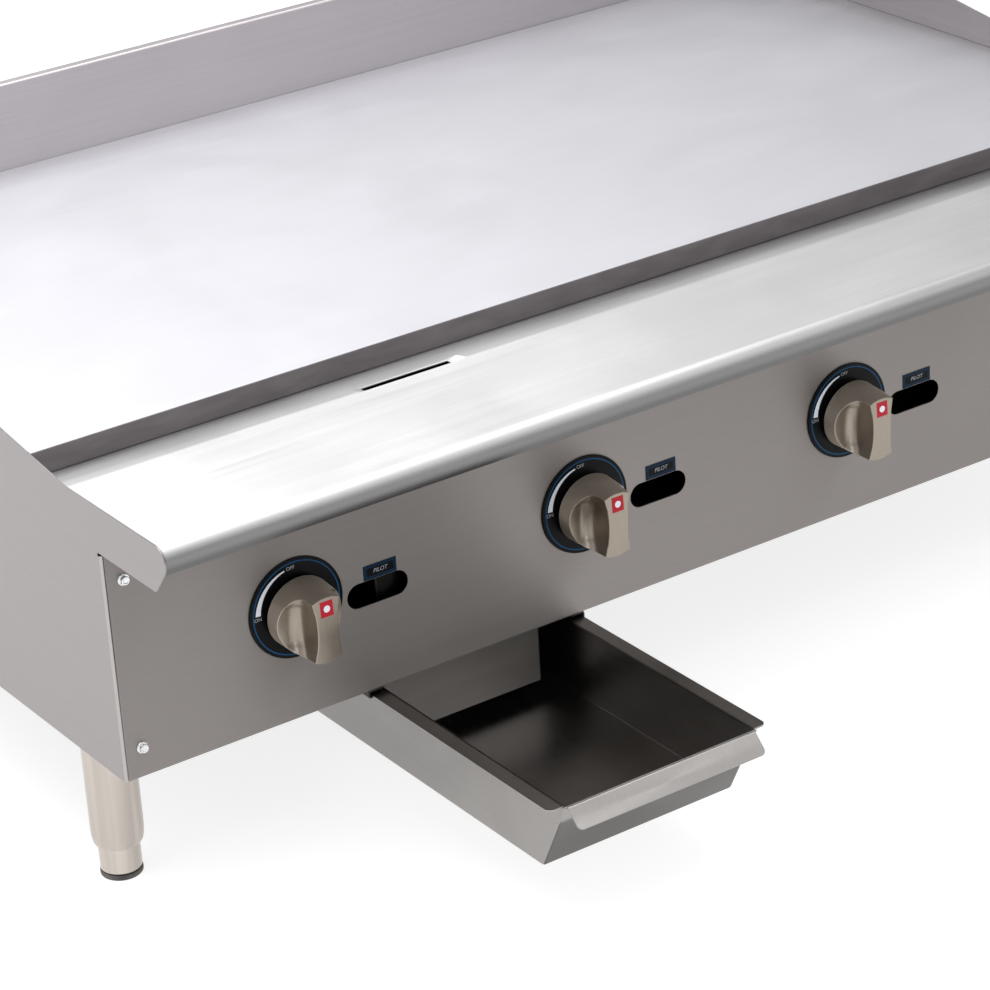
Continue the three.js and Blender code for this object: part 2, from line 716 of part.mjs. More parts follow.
function addCabinet() {
  place(griddle, 'control_panel', controlPanel(), 'brushed');
  place(griddle, 'side_panel_left', sidePanel(), 'brushed');
  place(griddle, 'side_panel_right', mirrored(sidePanel()), 'brushed');
  place(griddle, 'rear_panel', rearPanel(), 'brushed');
  place(griddle, 'base_pan', basePan(), 'dark');
  let number = 0;
  for (const hand of [-1, 1]) {
    for (const height of SCREW_HEIGHTS) {
      number += 1;
      const x = hand * (INNER_HALF - SCREW_EDGE);
      place(griddle, `panel_screw_${number}`, panelScrew(), 'zinc', x, 0, LEG_HEIGHT + height);
    }
  }
}

function addGreaseParts() {
  place(griddle, 'grease_chute', greaseChute(), 'tray');
  place(griddle, 'drip_tray', dripTray(), 'tray', TRAY_CENTRE);
  place(griddle, 'tray_rail_right', trayRail(), 'dark', TRAY_CENTRE);
  place(griddle, 'tray_rail_left', mirrored(trayRail()), 'dark', TRAY_CENTRE);
}

function addGasParts() {
  const [front, rear] = BURNER_RESTS.map((distance) => BURNER_FRONT + distance);
  place(griddle, 'manifold_pipe', manifoldPipe(), 'iron', 0, 0, KNOB_AXIS);
  place(griddle, 'inlet_elbow', inletElbow(), 'iron', INLET_X, MANIFOLD_DEPTH, KNOB_AXIS);
  place(griddle, 'gas_inlet_pipe', inletPipe(), 'iron', INLET_X, 0, KNOB_AXIS);
  place(griddle, 'burner_rest_front', burnerRest(), 'dark', 0, front);
  place(griddle, 'burner_rest_rear', burnerRest(), 'dark', 0, rear);
}

// A station is a knob on its dial with the valve, burner and pilot behind it.
function addStation(index) {
  const station = new THREE.Group();
  const number = index + 1;
  const { offset, setback } = PILOT_BURNER;
  station.position.set(stationX(index), 0, KNOB_AXIS);
  griddle.add(station);
  place(station, `knob_bezel_${number}`, knobBezel(), 'black');
  place(station, `knob_${number}`, knob(), 'nickel');
  place(station, `valve_stem_${number}`, valveStem(), 'brass');
  place(station, `gas_valve_${number}`, gasValve(), 'brass');
  place(station, `burner_${number}`, burner(), 'iron', 0, BURNER_FRONT, BURNER_AXIS - KNOB_AXIS);
  place(station, `pilot_burner_${number}`, pilotBurner(), 'iron', offset, BURNER_FRONT + setback);
}

function addLegs() {
  const sides = { left: -1, right: 1 };
  const ends = { front: LEG_INSET.end, rear: CABINET_DEPTH - LEG_INSET.end };
  for (const [end, y] of Object.entries(ends)) {
    for (const [side, hand] of Object.entries(sides)) {
      const support = new THREE.Group();
      support.position.set(hand * (INNER_HALF - LEG_INSET.side), y, 0);
      griddle.add(support);
      place(support, `leg_${end}_${side}`, leg(), 'satin');
      place(support, `foot_${end}_${side}`, foot(), 'satin');
      place(support, `foot_pad_${end}_${side}`, footPad(), 'rubber');
    }
  }
}

addTop();
addCabinet();
addGreaseParts();
addGasParts();
for (let i = 0; i < STATIONS; i += 1) {
  addStation(i);
}
addLegs();

export default griddle;
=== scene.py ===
import math

import bmesh
import bpy
from mathutils import Matrix, Vector
from mathutils.bvhtree import BVHTree


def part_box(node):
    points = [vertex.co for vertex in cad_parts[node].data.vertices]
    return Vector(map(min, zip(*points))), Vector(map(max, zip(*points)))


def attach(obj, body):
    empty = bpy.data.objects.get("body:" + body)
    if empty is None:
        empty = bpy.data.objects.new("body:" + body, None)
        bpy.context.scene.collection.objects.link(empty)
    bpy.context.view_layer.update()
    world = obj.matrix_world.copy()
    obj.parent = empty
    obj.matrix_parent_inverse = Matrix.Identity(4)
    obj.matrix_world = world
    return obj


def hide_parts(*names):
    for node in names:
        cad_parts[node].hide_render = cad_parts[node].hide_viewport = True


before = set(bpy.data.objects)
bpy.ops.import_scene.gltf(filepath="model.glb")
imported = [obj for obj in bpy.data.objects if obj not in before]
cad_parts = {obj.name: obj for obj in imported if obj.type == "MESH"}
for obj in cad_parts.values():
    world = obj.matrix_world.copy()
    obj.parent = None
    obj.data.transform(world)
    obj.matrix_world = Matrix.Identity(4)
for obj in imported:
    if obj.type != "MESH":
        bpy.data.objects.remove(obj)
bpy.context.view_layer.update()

# ---------------------------------------------------------------- sizes, in metres

MM = 0.001
SHEET = 1.5 * MM
GAP = 0.3 * MM
INNER_BEND = 1.2 * MM           # inner radius of a fold in the sheet
STATIONS = (1, 2, 3, 4)
CORNERS = ("front_left", "front_right", "rear_left", "rear_right")

plate_low, plate_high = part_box("griddle_plate")
panel_low, panel_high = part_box("control_panel")
ledge_low, ledge_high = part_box("front_ledge")
tray_low, tray_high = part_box("drip_tray")
side_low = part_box("side_panel_left")[0]

HALF = plate_high.x             # half the width over the side panels
PANEL_FACE = panel_low.y        # front face of the control panel
UNDERSIDE = panel_low.z

NOSE_RADIUS = 13 * MM
NOSE_FOLD = 12 * MM
LEDGE_DROP = 2 * MM
TROUGH_FRONT = PANEL_FACE + 48 * MM
SCOOP_FRONT = TROUGH_FRONT - 3 * MM
SCOOP_BACK = PANEL_FACE + 80 * MM
SCOOP_DEPTH = 5 * MM
SCOOP_SPREAD = 10 * MM
SLOT_LENGTH = 87 * MM
SLOT_WIDTH = 16.5 * MM
SLOT_CENTRE = 329 * MM - HALF

SPLASH_LAP = 89 * MM            # the side splash's lower edge runs this far before the panel
SHAFT_HOLE = 11 * MM
PILOT_SLOT = {"offset": 79.4 * MM, "drop": 11.3 * MM, "width": 60 * MM, "height": 22.5 * MM}
LABEL = {"offset": 82.8 * MM, "rise": 7.2 * MM, "width": 32.4 * MM, "height": 13.4 * MM}
TRAY_FLANGE = 13.5 * MM         # flat strip beside the tub
TRAY_SLOPE = 37 * MM            # the front wall leans back by this over the tub's depth
TRAY_DEPTH = 70 * MM
LIP_RUN = 14 * MM               # the lip runs this far forwards, and as far down
LIP_INSET = 2 * MM
LIP_CORNER = 5 * MM
TRAY_CENTRE = (tray_low.x + tray_high.x) / 2
TRAY_HALF = (tray_high.x - tray_low.x) / 2 - TRAY_FLANGE
TRAY_TOP = tray_high.z
TRAY_FRONT = tray_low.y + LIP_RUN + SHEET * math.sqrt(0.5)
KNOB_BACK = 7 * MM
KNOB_FRONT = 50 * MM
KNOB_RADIUS = 31.5 * MM
KNOB_TIP = 29.8 * MM
KNOB_CORNER = 1.2 * MM          # round edge of the blank's front
BEND_START = 15 * MM            # sections of the casting start to bend round the blank here
BEND_END = 25 * MM
KNOB_RIM = 0.7 * MM             # rounds the edges that the scoops leave
KNOB_DOME = 2 * MM              # the front of the grip bulges by this
KNOB_FLOOR = 21 * MM            # scoops beside the grip, measured from the control panel
KNOB_CRADLE = 8 * MM            # the scoops rise towards their ends by this
GRIP_WAIST = 10 * MM
GRIP_FLARE = 3 * MM             # the grip is wider than its waist by this at each end
GRIP_FILLET = 10 * MM
TILE = {"width": 12 * MM, "height": 13.6 * MM, "rise": 20.2 * MM, "thickness": 0.15 * MM}
PRINT = 0.06 * MM               # thickness of the printing on dials and labels
RING_RADIUS = 41.2 * MM         # blue line round the dial
ARC_RADIUS = 36.8 * MM          # middle of the white sweep that widens from OFF to ON
SWEEP = {"start": 103.5, "end": 174, "thin": 0.6 * MM, "thick": 2.45 * MM}
LETTERS = {"dial": 4.6 * MM, "pilot": 5.2 * MM}
DOT_RADIUS = 3 * MM
KNOB_DROOP = 2.5                # degrees that the knob sags on its stem
DROOP_PIVOT = 20 * MM           # behind the panel

SIDE_RETURN = 32 * MM
RETURN_TOP = UNDERSIDE + 203 * MM
PANEL_RETURN = 9 * MM

# ---------------------------------------------------------------- camera

CAMERA_PLACE = Vector((-1.7301, -2.5197, 1.5440))
CAMERA_HEADING = 33.34          # degrees to the right of +Y
CAMERA_PITCH = 25.18            # degrees below the horizon
CAMERA_ROLL = 3.70
LENS = 130.09
SENSOR = 36.0


def add_camera():
    data = bpy.data.cameras.new("camera")
    data.lens = LENS
    data.sensor_width = SENSOR
    camera = bpy.data.objects.new("camera", data)
    bpy.context.scene.collection.objects.link(camera)
    turn = Matrix.Rotation(math.radians(-CAMERA_HEADING), 4, "Z")
    tilt = Matrix.Rotation(math.radians(90 - CAMERA_PITCH), 4, "X")
    roll = Matrix.Rotation(math.radians(-CAMERA_ROLL), 4, "Z")
    camera.matrix_world = Matrix.Translation(CAMERA_PLACE) @ turn @ tilt @ roll
    bpy.context.scene.camera = camera


add_camera()

# ---------------------------------------------------------------- material helpers


def linear(*srgb):
    """A colour given as 0 to 255 sRGB values, in the linear values that nodes take."""
    def channel(value):
        share = value / 255
        return share / 12.92 if share <= 0.04045 else ((share + 0.055) / 1.055) ** 2.4
    return (*[channel(value) for value in srgb], 1.0)


def scaled(colour, factor):
    return (*[min(1.0, value * factor) for value in colour[:3]], 1.0)


class Surface:
    """A node material being put together round its Principled shader."""

    def __init__(self, name, colour, roughness, metallic):
        self.material = bpy.data.materials.new(name)
        self.material.use_nodes = True
        self.tree = self.material.node_tree
        self.shader = self.tree.nodes["Principled BSDF"]
        self.shader.inputs["Base Color"].default_value = colour
        self.shader.inputs["Roughness"].default_value = roughness
        self.shader.inputs["Metallic"].default_value = metallic
        self.place = self.node("ShaderNodeTexCoord").outputs["Object"]
        self.height = None
        self.colour = None

    def node(self, kind, **settings):
        made = self.tree.nodes.new(kind)
        for key, value in settings.items():
            setattr(made, key, value)
        return made

    def noise(self, scale, detail=3.0, distortion=0.0):
        """Noise from 0 to 1 whose scale is given for each axis, in features per metre."""
        mapping = self.node("ShaderNodeMapping")
        mapping.inputs["Scale"].default_value = scale
        self.tree.links.new(self.place, mapping.inputs["Vector"])
        noise = self.node("ShaderNodeTexNoise")
        noise.inputs["Scale"].default_value = 1.0
        noise.inputs["Detail"].default_value = detail
        noise.inputs["Distortion"].default_value = distortion
        self.tree.links.new(mapping.outputs["Vector"], noise.inputs["Vector"])
        return noise.outputs["Fac"]

    def ramp(self, value, low, high, from_low=0.3, from_high=0.7, smooth=True):
        """The value spread out over a new range."""
        spread = self.node("ShaderNodeMapRange")
        spread.interpolation_type = "SMOOTHSTEP" if smooth else "LINEAR"
        spread.inputs["From Min"].default_value = from_low
        spread.inputs["From Max"].default_value = from_high
        spread.inputs["To Min"].default_value = low
        spread.inputs["To Max"].default_value = high
        self.tree.links.new(value, spread.inputs["Value"])
        return spread.outputs["Result"]

    def axes(self):
        """The three coordinates of a spot on the piece."""
        split = self.node("ShaderNodeSeparateXYZ")
        self.tree.links.new(self.place, split.inputs["Vector"])
        return split.outputs["X"], split.outputs["Y"], split.outputs["Z"]

    def behind(self, y):
        """1 behind a distance from the front, and 0 in front of it."""
        return self.math("GREATER_THAN", self.axes()[1], y)

    def math(self, operation, first, second):
        made = self.node("ShaderNodeMath", operation=operation)
        for socket, value in zip(made.inputs, (first, second)):
            if isinstance(value, (int, float)):
                socket.default_value = value
            else:
                self.tree.links.new(value, socket)
        return made.outputs["Value"]

    def mix(self, share, first, second):
        """A colour between two others, each a colour or another node's colour."""
        made = self.node("ShaderNodeMix", data_type="RGBA")
        self.tree.links.new(share, made.inputs["Factor"])
        for socket, colour in zip((made.inputs[6], made.inputs[7]), (first, second)):
            if isinstance(colour, tuple):
                socket.default_value = colour
            else:
                self.tree.links.new(colour, socket)
        return made.outputs[2]

    def tint(self, colour):
        self.colour = colour
        self.tree.links.new(colour, self.shader.inputs["Base Color"])

    def stain_and_painted_light(self, share, factor):
        """Paints light or shade into the colour, darkening or lightening it where a share from 0 to 1 says
        so.
        """
        shade = self.mix(share, (1.0, 1.0, 1.0, 1.0), (factor, factor, factor, 1.0))
        product = self.node("ShaderNodeMix", data_type="RGBA", blend_type="MULTIPLY")
        product.inputs["Factor"].default_value = 1.0
        self.tree.links.new(self.colour, product.inputs[6])
        self.tree.links.new(shade, product.inputs[7])
        self.tint(product.outputs[2])

    def roughen(self, roughness):
        self.tree.links.new(roughness, self.shader.inputs["Roughness"])

    def bump(self, height, depth):
        """Adds a relief of a depth in metres on top of those added before."""
        relief = self.node("ShaderNodeBump")
        relief.inputs["Strength"].default_value = 1.0
        relief.inputs["Distance"].default_value = depth
        self.tree.links.new(height, relief.inputs["Height"])
        if self.height is not None:
            self.tree.links.new(self.height, relief.inputs["Normal"])
        self.height = relief.outputs["Normal"]
        self.tree.links.new(self.height, self.shader.inputs["Normal"])

    def brush(self, axis, amount):
        """Stretches the gloss across a grain that runs along an axis."""
        tangent = self.node("ShaderNodeTangent", direction_type="RADIAL", axis=axis)
        self.tree.links.new(tangent.outputs["Tangent"], self.shader.inputs["Tangent"])
        self.shader.inputs["Anisotropic"].default_value = amount


FINE = 1500.0                   # grain lines per metre across the grain
COARSE = 260.0
SATIN = 450.0
STREAKS = 55.0
ALONG = {"X": 0, "Y": 1, "Z": 2}


def grain_scale(axis, across, along):
    scale = [across] * 3
    scale[ALONG[axis]] = along
    return scale


def brushed(name, colour, roughness, axis, streak=0.045, cloud=0.02, anisotropy=0.7):
    """Brushed sheet: fine and coarse grain lines along an axis, and faint cloudy handling marks."""
    surface = Surface(name, colour, roughness, 1.0)
    fine = surface.noise(grain_scale(axis, FINE, 9.0), detail=2.0)
    coarse = surface.noise(grain_scale(axis, COARSE, 2.5), detail=4.0)
    marks = surface.noise((7.0, 7.0, 7.0), detail=5.0, distortion=0.6)
    lines = surface.math("ADD", surface.math("MULTIPLY", fine, 0.5), surface.math("MULTIPLY", coarse, 0.5))
    shade = surface.math("ADD", surface.ramp(lines, -streak, streak), surface.ramp(marks, -cloud, cloud))
    share = surface.math("ADD", shade, 0.5)
    surface.tint(surface.mix(share, scaled(colour, 0.5), scaled(colour, 1.5)))
    worn = surface.math("ADD", surface.ramp(lines, -0.03, 0.03), surface.ramp(marks, -0.015, 0.02))
    surface.roughen(surface.math("ADD", worn, roughness))
    surface.bump(fine, 0.003 * MM)
    surface.brush(axis, anisotropy)
    return surface


def panel_steel():
    """Brushed sheet, darkened with painted shade under the ledge's nose."""
    surface = brushed("panel_steel", PANEL_TONE, 0.5, "X", anisotropy=0.85)
    nose_end = ledge_high.z - 2 * NOSE_RADIUS
    # Painted shade: the sheet gets darker towards the ledge's nose, where the nose shades it.
    painted_nose_shade = surface.ramp(surface.axes()[2], 0.0, 1.0, nose_end - 30 * MM, nose_end - 2 * MM)
    surface.stain_and_painted_light(painted_nose_shade, 0.5)
    return surface.material


def ledge_steel():
    """Brushed sheet, with painted shade on its rolled nose and painted shade down in the trough."""
    surface = brushed("ledge_steel", LEDGE_TONE, 0.36, "X", streak=0.05, cloud=0.03, anisotropy=0.8)
    _, y, z = surface.axes()
    # Painted shade: the rolled nose gets darker the further it drops below the top.
    drop = surface.math("SUBTRACT", ledge_high.z - 0.5 * MM, z)
    low = surface.math("POWER", surface.ramp(drop, 0.0, 1.0, 0.0, 17 * MM, smooth=False), 0.4)
    nose = surface.math("SUBTRACT", 1.0, surface.behind(ledge_low.y + NOSE_RADIUS + NOSE_FOLD))
    surface.stain_and_painted_light(surface.math("MULTIPLY", low, nose), NOSE_SHADE)
    # Painted shade down in the trough: a step at its front fold, then darker towards the plate.
    fold = surface.math("MULTIPLY", surface.behind(TROUGH_FRONT), 0.35)
    slope = surface.ramp(y, 0.0, 0.65, TROUGH_FRONT, plate_low.y - 6 * MM)
    surface.stain_and_painted_light(surface.math("ADD", fold, slope), 0.6)
    return surface.material


def tray_steel():
    """Brushed sheet, with painted shade on the outside of the front wall below the lip."""
    surface = brushed("tray_steel", TRAY_TONE, 0.33, "Y", cloud=0.08)
    _, y, z = surface.axes()
    # Painted shade on the outside of the front wall, below the lip.
    depth = surface.math("SUBTRACT", TRAY_TOP, z)
    slope = surface.math("MULTIPLY", depth, TRAY_SLOPE / TRAY_DEPTH)
    behind_wall = surface.math("SUBTRACT", surface.math("SUBTRACT", y, TRAY_FRONT), slope)
    outside = surface.math("LESS_THAN", behind_wall, SHEET / 2)
    below_lip = surface.ramp(depth, 0.0, 1.0, LIP_RUN, LIP_RUN + 6 * MM)
    surface.stain_and_painted_light(surface.math("MULTIPLY", outside, below_lip), 0.4)
    return surface.material


def chute_steel():
    """Brushed where it hangs in the tray, and darkened with painted shade inside the cabinet."""
    surface = brushed("chute_steel", TRAY_TONE, 0.36, "X", cloud=0.05, anisotropy=0.6)
    # Painted shade inside the cabinet: nearly black above the underside, with a ragged edge.
    ragged_shade_edge = surface.noise((30.0, 30.0, 30.0), detail=5.0)
    height = surface.math("ADD", surface.axes()[2], surface.ramp(ragged_shade_edge, -5 * MM, 5 * MM))
    surface.stain_and_painted_light(surface.ramp(height, 0.0, 1.0, UNDERSIDE + 8 * MM, UNDERSIDE + 40 * MM), 0.07)
    return surface.material


def side_steel():
    """Brushed side sheet, with a painted highlight along the fold at its front."""
    surface = brushed("side_panel_steel", SIDE_TONE, 0.34, "Y")
    # Painted highlight: the colour is lighter along the rounded fold at the front.
    fold = surface.ramp(surface.axes()[1], 1.0, 0.0, side_low.y + 0.8 * MM, side_low.y + 2.4 * MM)
    surface.stain_and_painted_light(fold, 1.4)
    return surface.material


def plate_steel():
    """Ground and polished plate, with grinding marks along its length and faint cooking haze."""
    surface = Surface("plate_steel", PLATE_TONE, 0.3, 1.0)
    ground = surface.noise((14.0, 900.0, 900.0), detail=3.0)
    haze = surface.noise((5.0, 5.0, 5.0), detail=6.0, distortion=1.2)
    specks = surface.noise((160.0, 160.0, 160.0), detail=2.0)
    shade = surface.math("ADD", surface.ramp(ground, -0.02, 0.02), surface.ramp(haze, -0.015, 0.015))
    share = surface.math("ADD", shade, 0.5)
    clean = surface.mix(share, scaled(PLATE_TONE, 0.6), scaled(PLATE_TONE, 1.4))
    dotted = surface.ramp(specks, 0.0, 0.35, 0.74, 0.8)
    worked = surface.mix(dotted, clean, scaled(PLATE_TONE, 0.9))
    scale = surface.noise((18.0, 18.0, 60.0), detail=5.0, distortion=0.8)
    rough_edge = surface.mix(surface.ramp(scale, 0.0, 1.0), scaled(EDGE_TONE, 0.85), scaled(EDGE_TONE, 1.05))
    surface.tint(surface.mix(surface.behind(plate_low.y + 0.8 * MM), rough_edge, worked))
    surface.roughen(surface.math("ADD", surface.ramp(haze, 0.44, 0.46), surface.ramp(ground, -0.02, 0.02)))
    surface.bump(ground, 0.003 * MM)
    surface.brush("X", 0.6)
    return surface.material


def painted(name, colour, roughness, mottle=0.15, peel=0.02, specular=0.4):
    """Paint or plastic with a slight orange peel and an uneven gloss."""
    surface = Surface(name, colour, roughness, 0.0)
    surface.shader.inputs["Specular IOR Level"].default_value = specular
    skin = surface.noise((420.0, 420.0, 420.0), detail=2.0)
    patches = surface.noise((40.0, 40.0, 40.0), detail=4.0)
    surface.tint(surface.mix(patches, scaled(colour, 1 - mottle), scaled(colour, 1 + mottle)))
    surface.roughen(surface.ramp(patches, roughness - 0.06, roughness + 0.08))
    surface.bump(skin, peel * MM)
    return surface.material


def satin_metal(name, colour, roughness, axis, speckle=0.05, bands=0.02, anisotropy=0.4):
    """Satin plated tube or screw: scratches and broad streaks along an axis, and an uneven gloss."""
    surface = Surface(name, colour, roughness, 1.0)
    lines = surface.noise(grain_scale(axis, SATIN, 4.0), detail=3.0)
    mottle = surface.noise((25.0, 25.0, 25.0), detail=3.0)
    streaks = surface.noise(grain_scale(axis, STREAKS, 1.5), detail=2.0)
    shade = surface.math("ADD", surface.ramp(lines, -speckle, speckle), surface.ramp(streaks, -bands, bands))
    surface.tint(surface.mix(surface.math("ADD", shade, 0.5), scaled(colour, 0.5), scaled(colour, 1.5)))
    surface.roughen(surface.math("ADD", surface.ramp(mottle, -0.02, 0.03), roughness))
    surface.bump(lines, 0.001 * MM)
    surface.brush(axis, anisotropy)
    return surface.material


def knob_nickel():
    """Satin nickel, turned round the outside and brushed up and down on the grip, with a painted highlight
    that makes the outside lighter.
    """
    surface = Surface("knob_nickel", NICKEL_TONE, 0.3, 1.0)
    x, y, z = surface.axes()
    radius = surface.math("POWER", surface.math("ADD", squared(surface, x), squared(surface, z)), 0.5)
    taper = (KNOB_RADIUS - KNOB_TIP) / (KNOB_FRONT - KNOB_BACK)
    level = surface.math("SUBTRACT", radius, surface.math("MULTIPLY", y, taper))
    outside = surface.math("GREATER_THAN", level, KNOB_RADIUS + taper * KNOB_BACK - 0.4 * MM)
    mottle = surface.noise((60.0, 60.0, 60.0), detail=3.0)
    lines = surface.noise((SATIN, SATIN, 25.0), detail=2.0)
    shade = surface.math("ADD", surface.ramp(lines, -0.02, 0.02), surface.ramp(mottle, -0.02, 0.02))
    share = surface.math("ADD", shade, 0.5)
    grip = surface.mix(share, scaled(NICKEL_TONE, 0.5), scaled(NICKEL_TONE, 1.5))
    # Painted highlight: the turned outside gets a lighter copy of the nickel tone than the grip.
    rim = surface.mix(share, scaled(NICKEL_TONE, 0.7), scaled(NICKEL_TONE, 2.0))
    surface.tint(surface.mix(outside, grip, rim))
    base = surface.ramp(outside, 0.35, 0.5, 0.0, 1.0)
    surface.roughen(surface.math("ADD", surface.ramp(mottle, -0.02, 0.03), base))
    surface.bump(lines, 0.001 * MM)
    grain = surface.node("ShaderNodeCombineXYZ")
    surface.tree.links.new(outside, grain.inputs["Y"])
    surface.tree.links.new(surface.math("SUBTRACT", 1.0, outside), grain.inputs["Z"])
    turn = surface.node("ShaderNodeVectorTransform", vector_type="VECTOR")
    turn.convert_from = "OBJECT"
    turn.convert_to = "WORLD"
    surface.tree.links.new(grain.outputs["Vector"], turn.inputs["Vector"])
    surface.tree.links.new(turn.outputs["Vector"], surface.shader.inputs["Tangent"])
    surface.shader.inputs["Anisotropic"].default_value = 0.6
    return surface.material


def squared(surface, value):
    return surface.math("MULTIPLY", value, value)


def cast_iron():
    surface = Surface("iron", linear(72, 68, 65), 0.6, 0.8)
    grit = surface.noise((900.0, 900.0, 900.0), detail=4.0)
    scale = surface.noise((30.0, 30.0, 30.0), detail=5.0, distortion=1.0)
    surface.tint(surface.mix(surface.ramp(scale, 0.0, 1.0), linear(52, 48, 46), linear(96, 84, 76)))
    surface.roughen(surface.ramp(scale, 0.5, 0.75))
    surface.bump(grit, 0.05 * MM)
    return surface.material


def turned_brass():
    surface = Surface("brass", linear(181, 149, 79), 0.35, 1.0)
    rings = surface.noise((60.0, 1400.0, 60.0), detail=2.0)
    stain_and_painted_light = surface.noise((45.0, 45.0, 45.0), detail=4.0)
    surface.tint(surface.mix(surface.ramp(stain_and_painted_light, 0.0, 1.0), linear(150, 117, 58), linear(196, 163, 92)))
    surface.roughen(surface.ramp(stain_and_painted_light, 0.28, 0.45))
    surface.bump(rings, 0.01 * MM)
    return surface.material


def rubber():
    surface = Surface("rubber", linear(66, 64, 62), 0.7, 0.0)
    grain = surface.noise((700.0, 700.0, 700.0), detail=3.0)
    dust = surface.noise((60.0, 60.0, 60.0), detail=5.0)
    surface.tint(surface.mix(surface.ramp(dust, 0.0, 1.0), linear(56, 54, 53), linear(96, 92, 88)))
    surface.roughen(surface.ramp(dust, 0.6, 0.82))
    surface.bump(grain, 0.03 * MM)
    return surface.material


PLATE_TONE = linear(209, 209, 214)
EDGE_TONE = linear(124, 119, 121)
LEDGE_TONE = linear(237, 236, 237)
NOSE_SHADE = 0.2                # share of the ledge's tone that is left under its nose
PANEL_TONE = linear(150, 145, 142)
SIDE_TONE = linear(151, 146, 146)
SPLASH_TONE = linear(184, 179, 182)
TRAY_TONE = linear(154, 151, 149)
NICKEL_TONE = linear(150, 141, 130)
LEG_TONE = linear(190, 182, 174)

MATERIALS = {
    "plate": plate_steel(),
    "ledge": ledge_steel(),
    "panel": panel_steel(),
    "side": brushed("side_steel", SIDE_TONE, 0.34, "Y").material,
    "side_panel": side_steel(),
    "splash": brushed("splash_steel", SPLASH_TONE, 0.32, "X").material,
    "tray": tray_steel(),
    "chute": chute_steel(),
    "rail": painted("dark_steel", linear(42, 40, 39), 0.5),
    "knob": knob_nickel(),
    "leg": satin_metal("leg_nickel", LEG_TONE, 0.24, "Z", speckle=0.012, bands=0.16, anisotropy=0.1),
    "zinc": satin_metal("zinc", linear(214, 220, 224), 0.25, "Y", speckle=0.1),
    "dial": painted("dial_black", linear(8, 8, 10), 0.4, peel=0.004, specular=0.1),
    "dial_blue": painted("dial_blue", linear(20, 72, 110), 0.4, peel=0.003, specular=0.1),
    "dial_white": painted("dial_white", linear(222, 224, 232), 0.4, mottle=0.04, peel=0.003),
    "print_grey": painted("print_grey", linear(150, 154, 162), 0.45, mottle=0.1, peel=0.003),
    "mark_red": painted("mark_red", linear(172, 18, 36), 0.3, peel=0.003, specular=0.2),
    "iron": cast_iron(),
    "brass": turned_brass(),
    "rubber": rubber(),
}

# ---------------------------------------------------------------- outlines


def point(a, b):
    return Vector((a, b))


def arc(a, b, radius, start, end, steps):
    """Points of an arc about (a, b), in degrees, both ends included."""
    points = []
    for i in range(steps + 1):
        angle = math.radians(start + (end - start) * i / steps)
        points.append(point(a + radius * math.cos(angle), b + radius * math.sin(angle)))
    return points


def circle(a, b, radius, steps=48):
    """Points round a closed circle."""
    return arc(a, b, radius, 0, 360 - 360 / steps, steps - 1)


def rectangle(left, right, bottom, top):
    return [point(left, bottom), point(right, bottom), point(right, top), point(left, top)]


def stadium(a, b, length, height, steps=24):
    reach = (length - height) / 2
    right = arc(a + reach, b, height / 2, -90, 90, steps)
    return right + arc(a - reach, b, height / 2, 90, 270, steps)


def rounded(points, inner=INNER_BEND, thickness=SHEET, steps=5):
    """An open line with each bend turned into an arc. The sheet lies to the line's left, so a bend
    to the left has the outer radius and a bend to the right has the inner one."""
    line = [points[0]]
    for before, corner, after in zip(points, points[1:], points[2:]):
        into = (corner - before).normalized()
        out = (after - corner).normalized()
        turn = into.angle_signed(out)
        left = turn < 0
        radius = inner + thickness if left else inner
        side = point(-into.y, into.x) if left else point(into.y, -into.x)
        start = corner - into * radius * math.tan(abs(turn) / 2)
        centre = start + side * radius
        for i in range(steps + 1):
            angle = -turn * i / steps
            line.append(centre + Matrix.Rotation(angle, 2) @ (start - centre))
    line.append(points[-1])
    return line


def moved_left(line, distance):
    """A line beside another one, to its left, with mitred corners."""
    result = []
    for i, spot in enumerate(line):
        steps = []
        if i > 0:
            steps.append((spot - line[i - 1]).normalized())
        if i < len(line) - 1:
            steps.append((line[i + 1] - spot).normalized())
        normals = [point(-step.y, step.x) for step in steps]
        mitre = sum(normals, point(0, 0)).normalized()
        result.append(spot + mitre * (distance / mitre.dot(normals[0])))
    return result


def folded(points, inner=INNER_BEND, thickness=SHEET, steps=5):
    """Closed outline of a folded sheet, its two sides matching point for point."""
    side = rounded(points, inner, thickness, steps)
    return side + moved_left(side, thickness)[::-1]


# ---------------------------------------------------------------- mesh helpers


def along_x(outline, x):
    return [Vector((x, p.x, p.y)) for p in outline]


def along_y(outline, y):
    return [Vector((p.x, y, p.y)) for p in outline]


def along_z(outline, z):
    return [Vector((p.x, p.y, z)) for p in outline]


def skin(bm, rows):
    """Joins a row of matching closed rings of vertices with four-sided faces."""
    for lower, upper in zip(rows, rows[1:]):
        count = len(lower)
        for i in range(count):
            j = (i + 1) % count
            bm.faces.new((lower[i], lower[j], upper[j], upper[i]))


def add_loft(bm, rings, ladder=False, caps=True):
    """Skins a row of matching closed rings. The ends of a folded sheet are closed like a ladder,
    from one side of the sheet to the other."""
    rows = [[bm.verts.new(p) for p in ring] for ring in rings]
    count = len(rows[0])
    skin(bm, rows)
    for row in (rows[0], rows[-1]) if caps else ():
        if not ladder:
            bm.faces.new(row)
            continue
        for i in range(count // 2 - 1):
            bm.faces.new((row[i], row[i + 1], row[count - 2 - i], row[count - 1 - i]))


def lofted(rings, ladder=False, caps=True):
    bm = bmesh.new()
    add_loft(bm, rings, ladder, caps)
    bmesh.ops.recalc_face_normals(bm, faces=bm.faces)
    return bm


def prism(outline, place, low, high):
    return lofted([place(outline, low), place(outline, high)])


